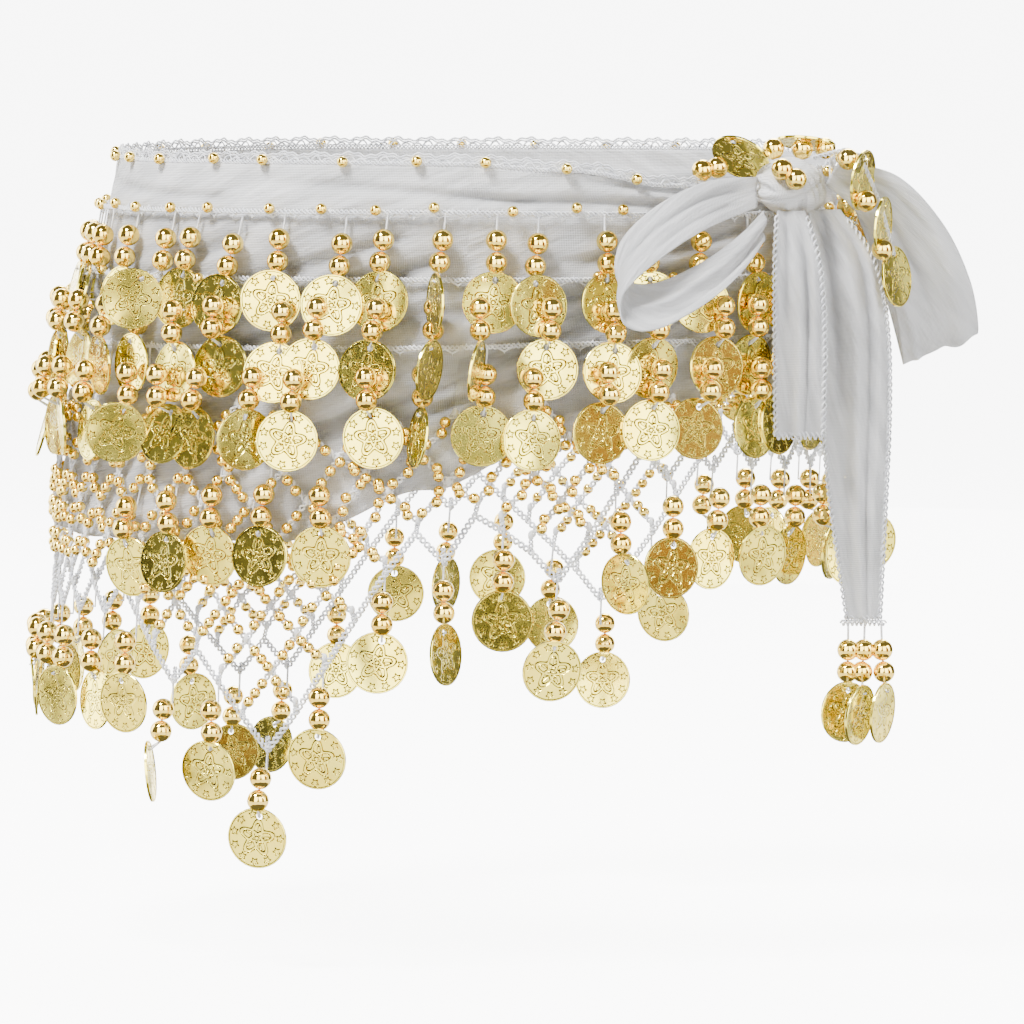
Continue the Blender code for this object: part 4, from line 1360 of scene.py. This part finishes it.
# %% Crochet trims on the tails
def trim_paths(path, crease_rows):
    """A chain of open links along both edges of a tail and across its end."""
    paths = []
    for side in (0.0, 1.0):
        line = ribbon_points(path, np.linspace(0.05, 1.0, 60), np.full(60, side), 2.5, crease_rows)
        paths += braid(line, 5.0, 1.2, 0.5)
    end_line = ribbon_points(path, np.ones(30), np.linspace(0.0, 1.0, 30), 2.5, crease_rows)
    return paths + braid(end_line, 4.0, 1.4, 0.5)


threads("tail_trim", trim_paths(LONG_TAIL, LONG_CREASES), 0.42)
threads("short_tail_trim", trim_paths(SHORT_TAIL, SHORT_CREASES), 0.42)

# %% [markdown]
# ## Knot
#
# The knot is where both ends wrap round each other. It is a soft rounded form whose wraps show as ridges that
# run round it, so a ball is stretched and its points are moved in and out by a slow wave.

# %% Knot
KNOT_ANGLE = 52.0
KNOT_HEIGHT = -9.0
KNOT_OUT = 11.4
KNOT_RADII = (16.4, 12.4, 10.9)
KNOT_CORE = 0.86
WRAP_EDGE = 0.13
KNOT_WRAPS = table(
    "normal middle half rise",
    ((0.94, -0.10, 0.34), 0.06, 0.44, 0.17),
    ((0.55, 0.10, -0.84), -0.22, 0.30, 0.11),
    ((0.90, 0.30, -0.32), 0.52, 0.20, 0.10),
    ((0.80, -0.30, 0.52), -0.58, 0.20, 0.10),
)
KNOT_CREASES = table(
    "normal middle half rise",
    ((0.94, -0.10, 0.34), 0.18, 0.055, -0.07),
    ((0.90, -0.02, 0.43), -0.10, 0.05, -0.06),
    ((0.55, 0.10, -0.84), -0.20, 0.05, -0.06),
)


def knot_cloth():
    """The wrapped knot: a ball with a few broad wraps, whose edges are soft steps, and creases along them."""
    points, faces, _ = ball(1.0, 6)
    spot = unit(points)
    size = np.full(len(spot), KNOT_CORE)
    for wrap in KNOT_WRAPS:
        away = np.abs(spot @ unit(np.array(wrap["normal"])) - wrap["middle"])
        size = np.maximum(size, KNOT_CORE + wrap["rise"] * smooth((wrap["half"] - away) / WRAP_EDGE))
    for crease in KNOT_CREASES:
        away = (spot @ unit(np.array(crease["normal"])) - crease["middle"]) / crease["half"]
        size += crease["rise"] * np.exp(-away * away) * (0.6 + 0.4 * np.sin(3.0 * spot[:, 2] + 2.0))
    uv = spot[:, [0, 2]] * (16.0, 11.0)
    made = mesh_piece("knot_cloth", spot * KNOT_RADII * size[:, None] * MM, faces, uv)
    made.location = on_ring(KNOT_ANGLE, KNOT_HEIGHT, KNOT_OUT)
    made.rotation_euler.z = math.radians(KNOT_ANGLE)
    finish_piece(made, chiffon)
    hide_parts("bow_knot")


knot_cloth()

# %% Beads and coins by the knot
STRING_OUT = 10.5
STRING_ROOT_OUT = 4.4
KNOT_STRING = table(
    "angle height turn layer",
    (70, 1, 6, 1.5),
    (78, -9, -8, 1.5),
    (86, -20, 8, 1.5),
    (94, -28, -6, 1.5),
)
KNOT_BEADS = table(
    "x y z",
    (112.5, -89, -2),
    (117.5, -90, -5.5),
    (110, -72, 5),
    (120.5, -70, 5),
    (129, -66, 5.2),
    (84, -84, -2.5),
    (89.5, -82, -1.5),
    (136.5, -83, 1.5),
    (143, -84, -13.5),
    (149, -81.5, -31),
)
KNOT_COINS = table(
    "x y z yaw nod",
    (98, -76, 2, -32, 44),
    (122, -64, 7, -25, 76),
    (142, -80, -6, 66, 8),
    (149.5, -78, -23, 72, 4),
    (154.5, -76, -41, 60, -6),
)
KNOT_CORD = table(
    "x y z",
    (124, -82, 2),
    (136, -82.5, 5),
    (141, -82, 2.5),
    (148.5, -80, -15),
    (153.5, -78, -33),
)


def spot_of(row):
    """A row's point, in metres."""
    return Vector((row["x"], row["y"], row["z"])) * MM


kit = new_kit(STRING_OUT, STRING_OUT)
for row in KNOT_STRING:
    hang(row, kit, STRING_ROOT_OUT)
kit["beads"] += [Matrix.Translation(spot_of(row)) for row in KNOT_BEADS]
for row in KNOT_COINS:
    yaw = Matrix.Rotation(math.radians(row["yaw"]), 4, "Z")
    nod = Matrix.Rotation(math.radians(row["nod"]), 4, "X")
    kit["coins"].append(Matrix.Translation(spot_of(row)) @ yaw @ nod)
string_line = np.array([on_ring(row["angle"], row["height"], STRING_ROOT_OUT) for row in KNOT_STRING])
kit["threads"] += braid(string_line, 3.4, 0.8, 0.4)
kit["threads"] += braid(np.array([spot_of(row) for row in KNOT_CORD]), 3.4, 0.7, 0.4)
make_kit("knot_string", kit, "knot_string")

# %% Tassel at the foot of the long tail
TASSEL = table(
    "angle height turn layer",
    (-5.5, -167.2, 34, 0),
    (0.5, -167.2, 62, 9),
    (6.5, -167.2, 66, 0),
)
kit = new_kit(0.0, 0.0)
for row in TASSEL:
    hang(row, kit, 0.0, on_bench)
kit["threads"] += braid(np.array([on_bench(-8.0, -167.0), on_bench(8.0, -167.0)]), 3.0, 1.0, 0.5)
make_kit("tassel", kit, "tail_tassel")

# %% [markdown]
# ## Sizes
#
# The boxes of the CAD model and of the finished scene are printed, in millimetres.


# %% Sizes
visual_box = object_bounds()
for title, (low, high) in (("cad", cad_box), ("visual", visual_box)):
    print(title, "box in mm:", [round(1000 * v, 1) for v in low], [round(1000 * v, 1) for v in high])
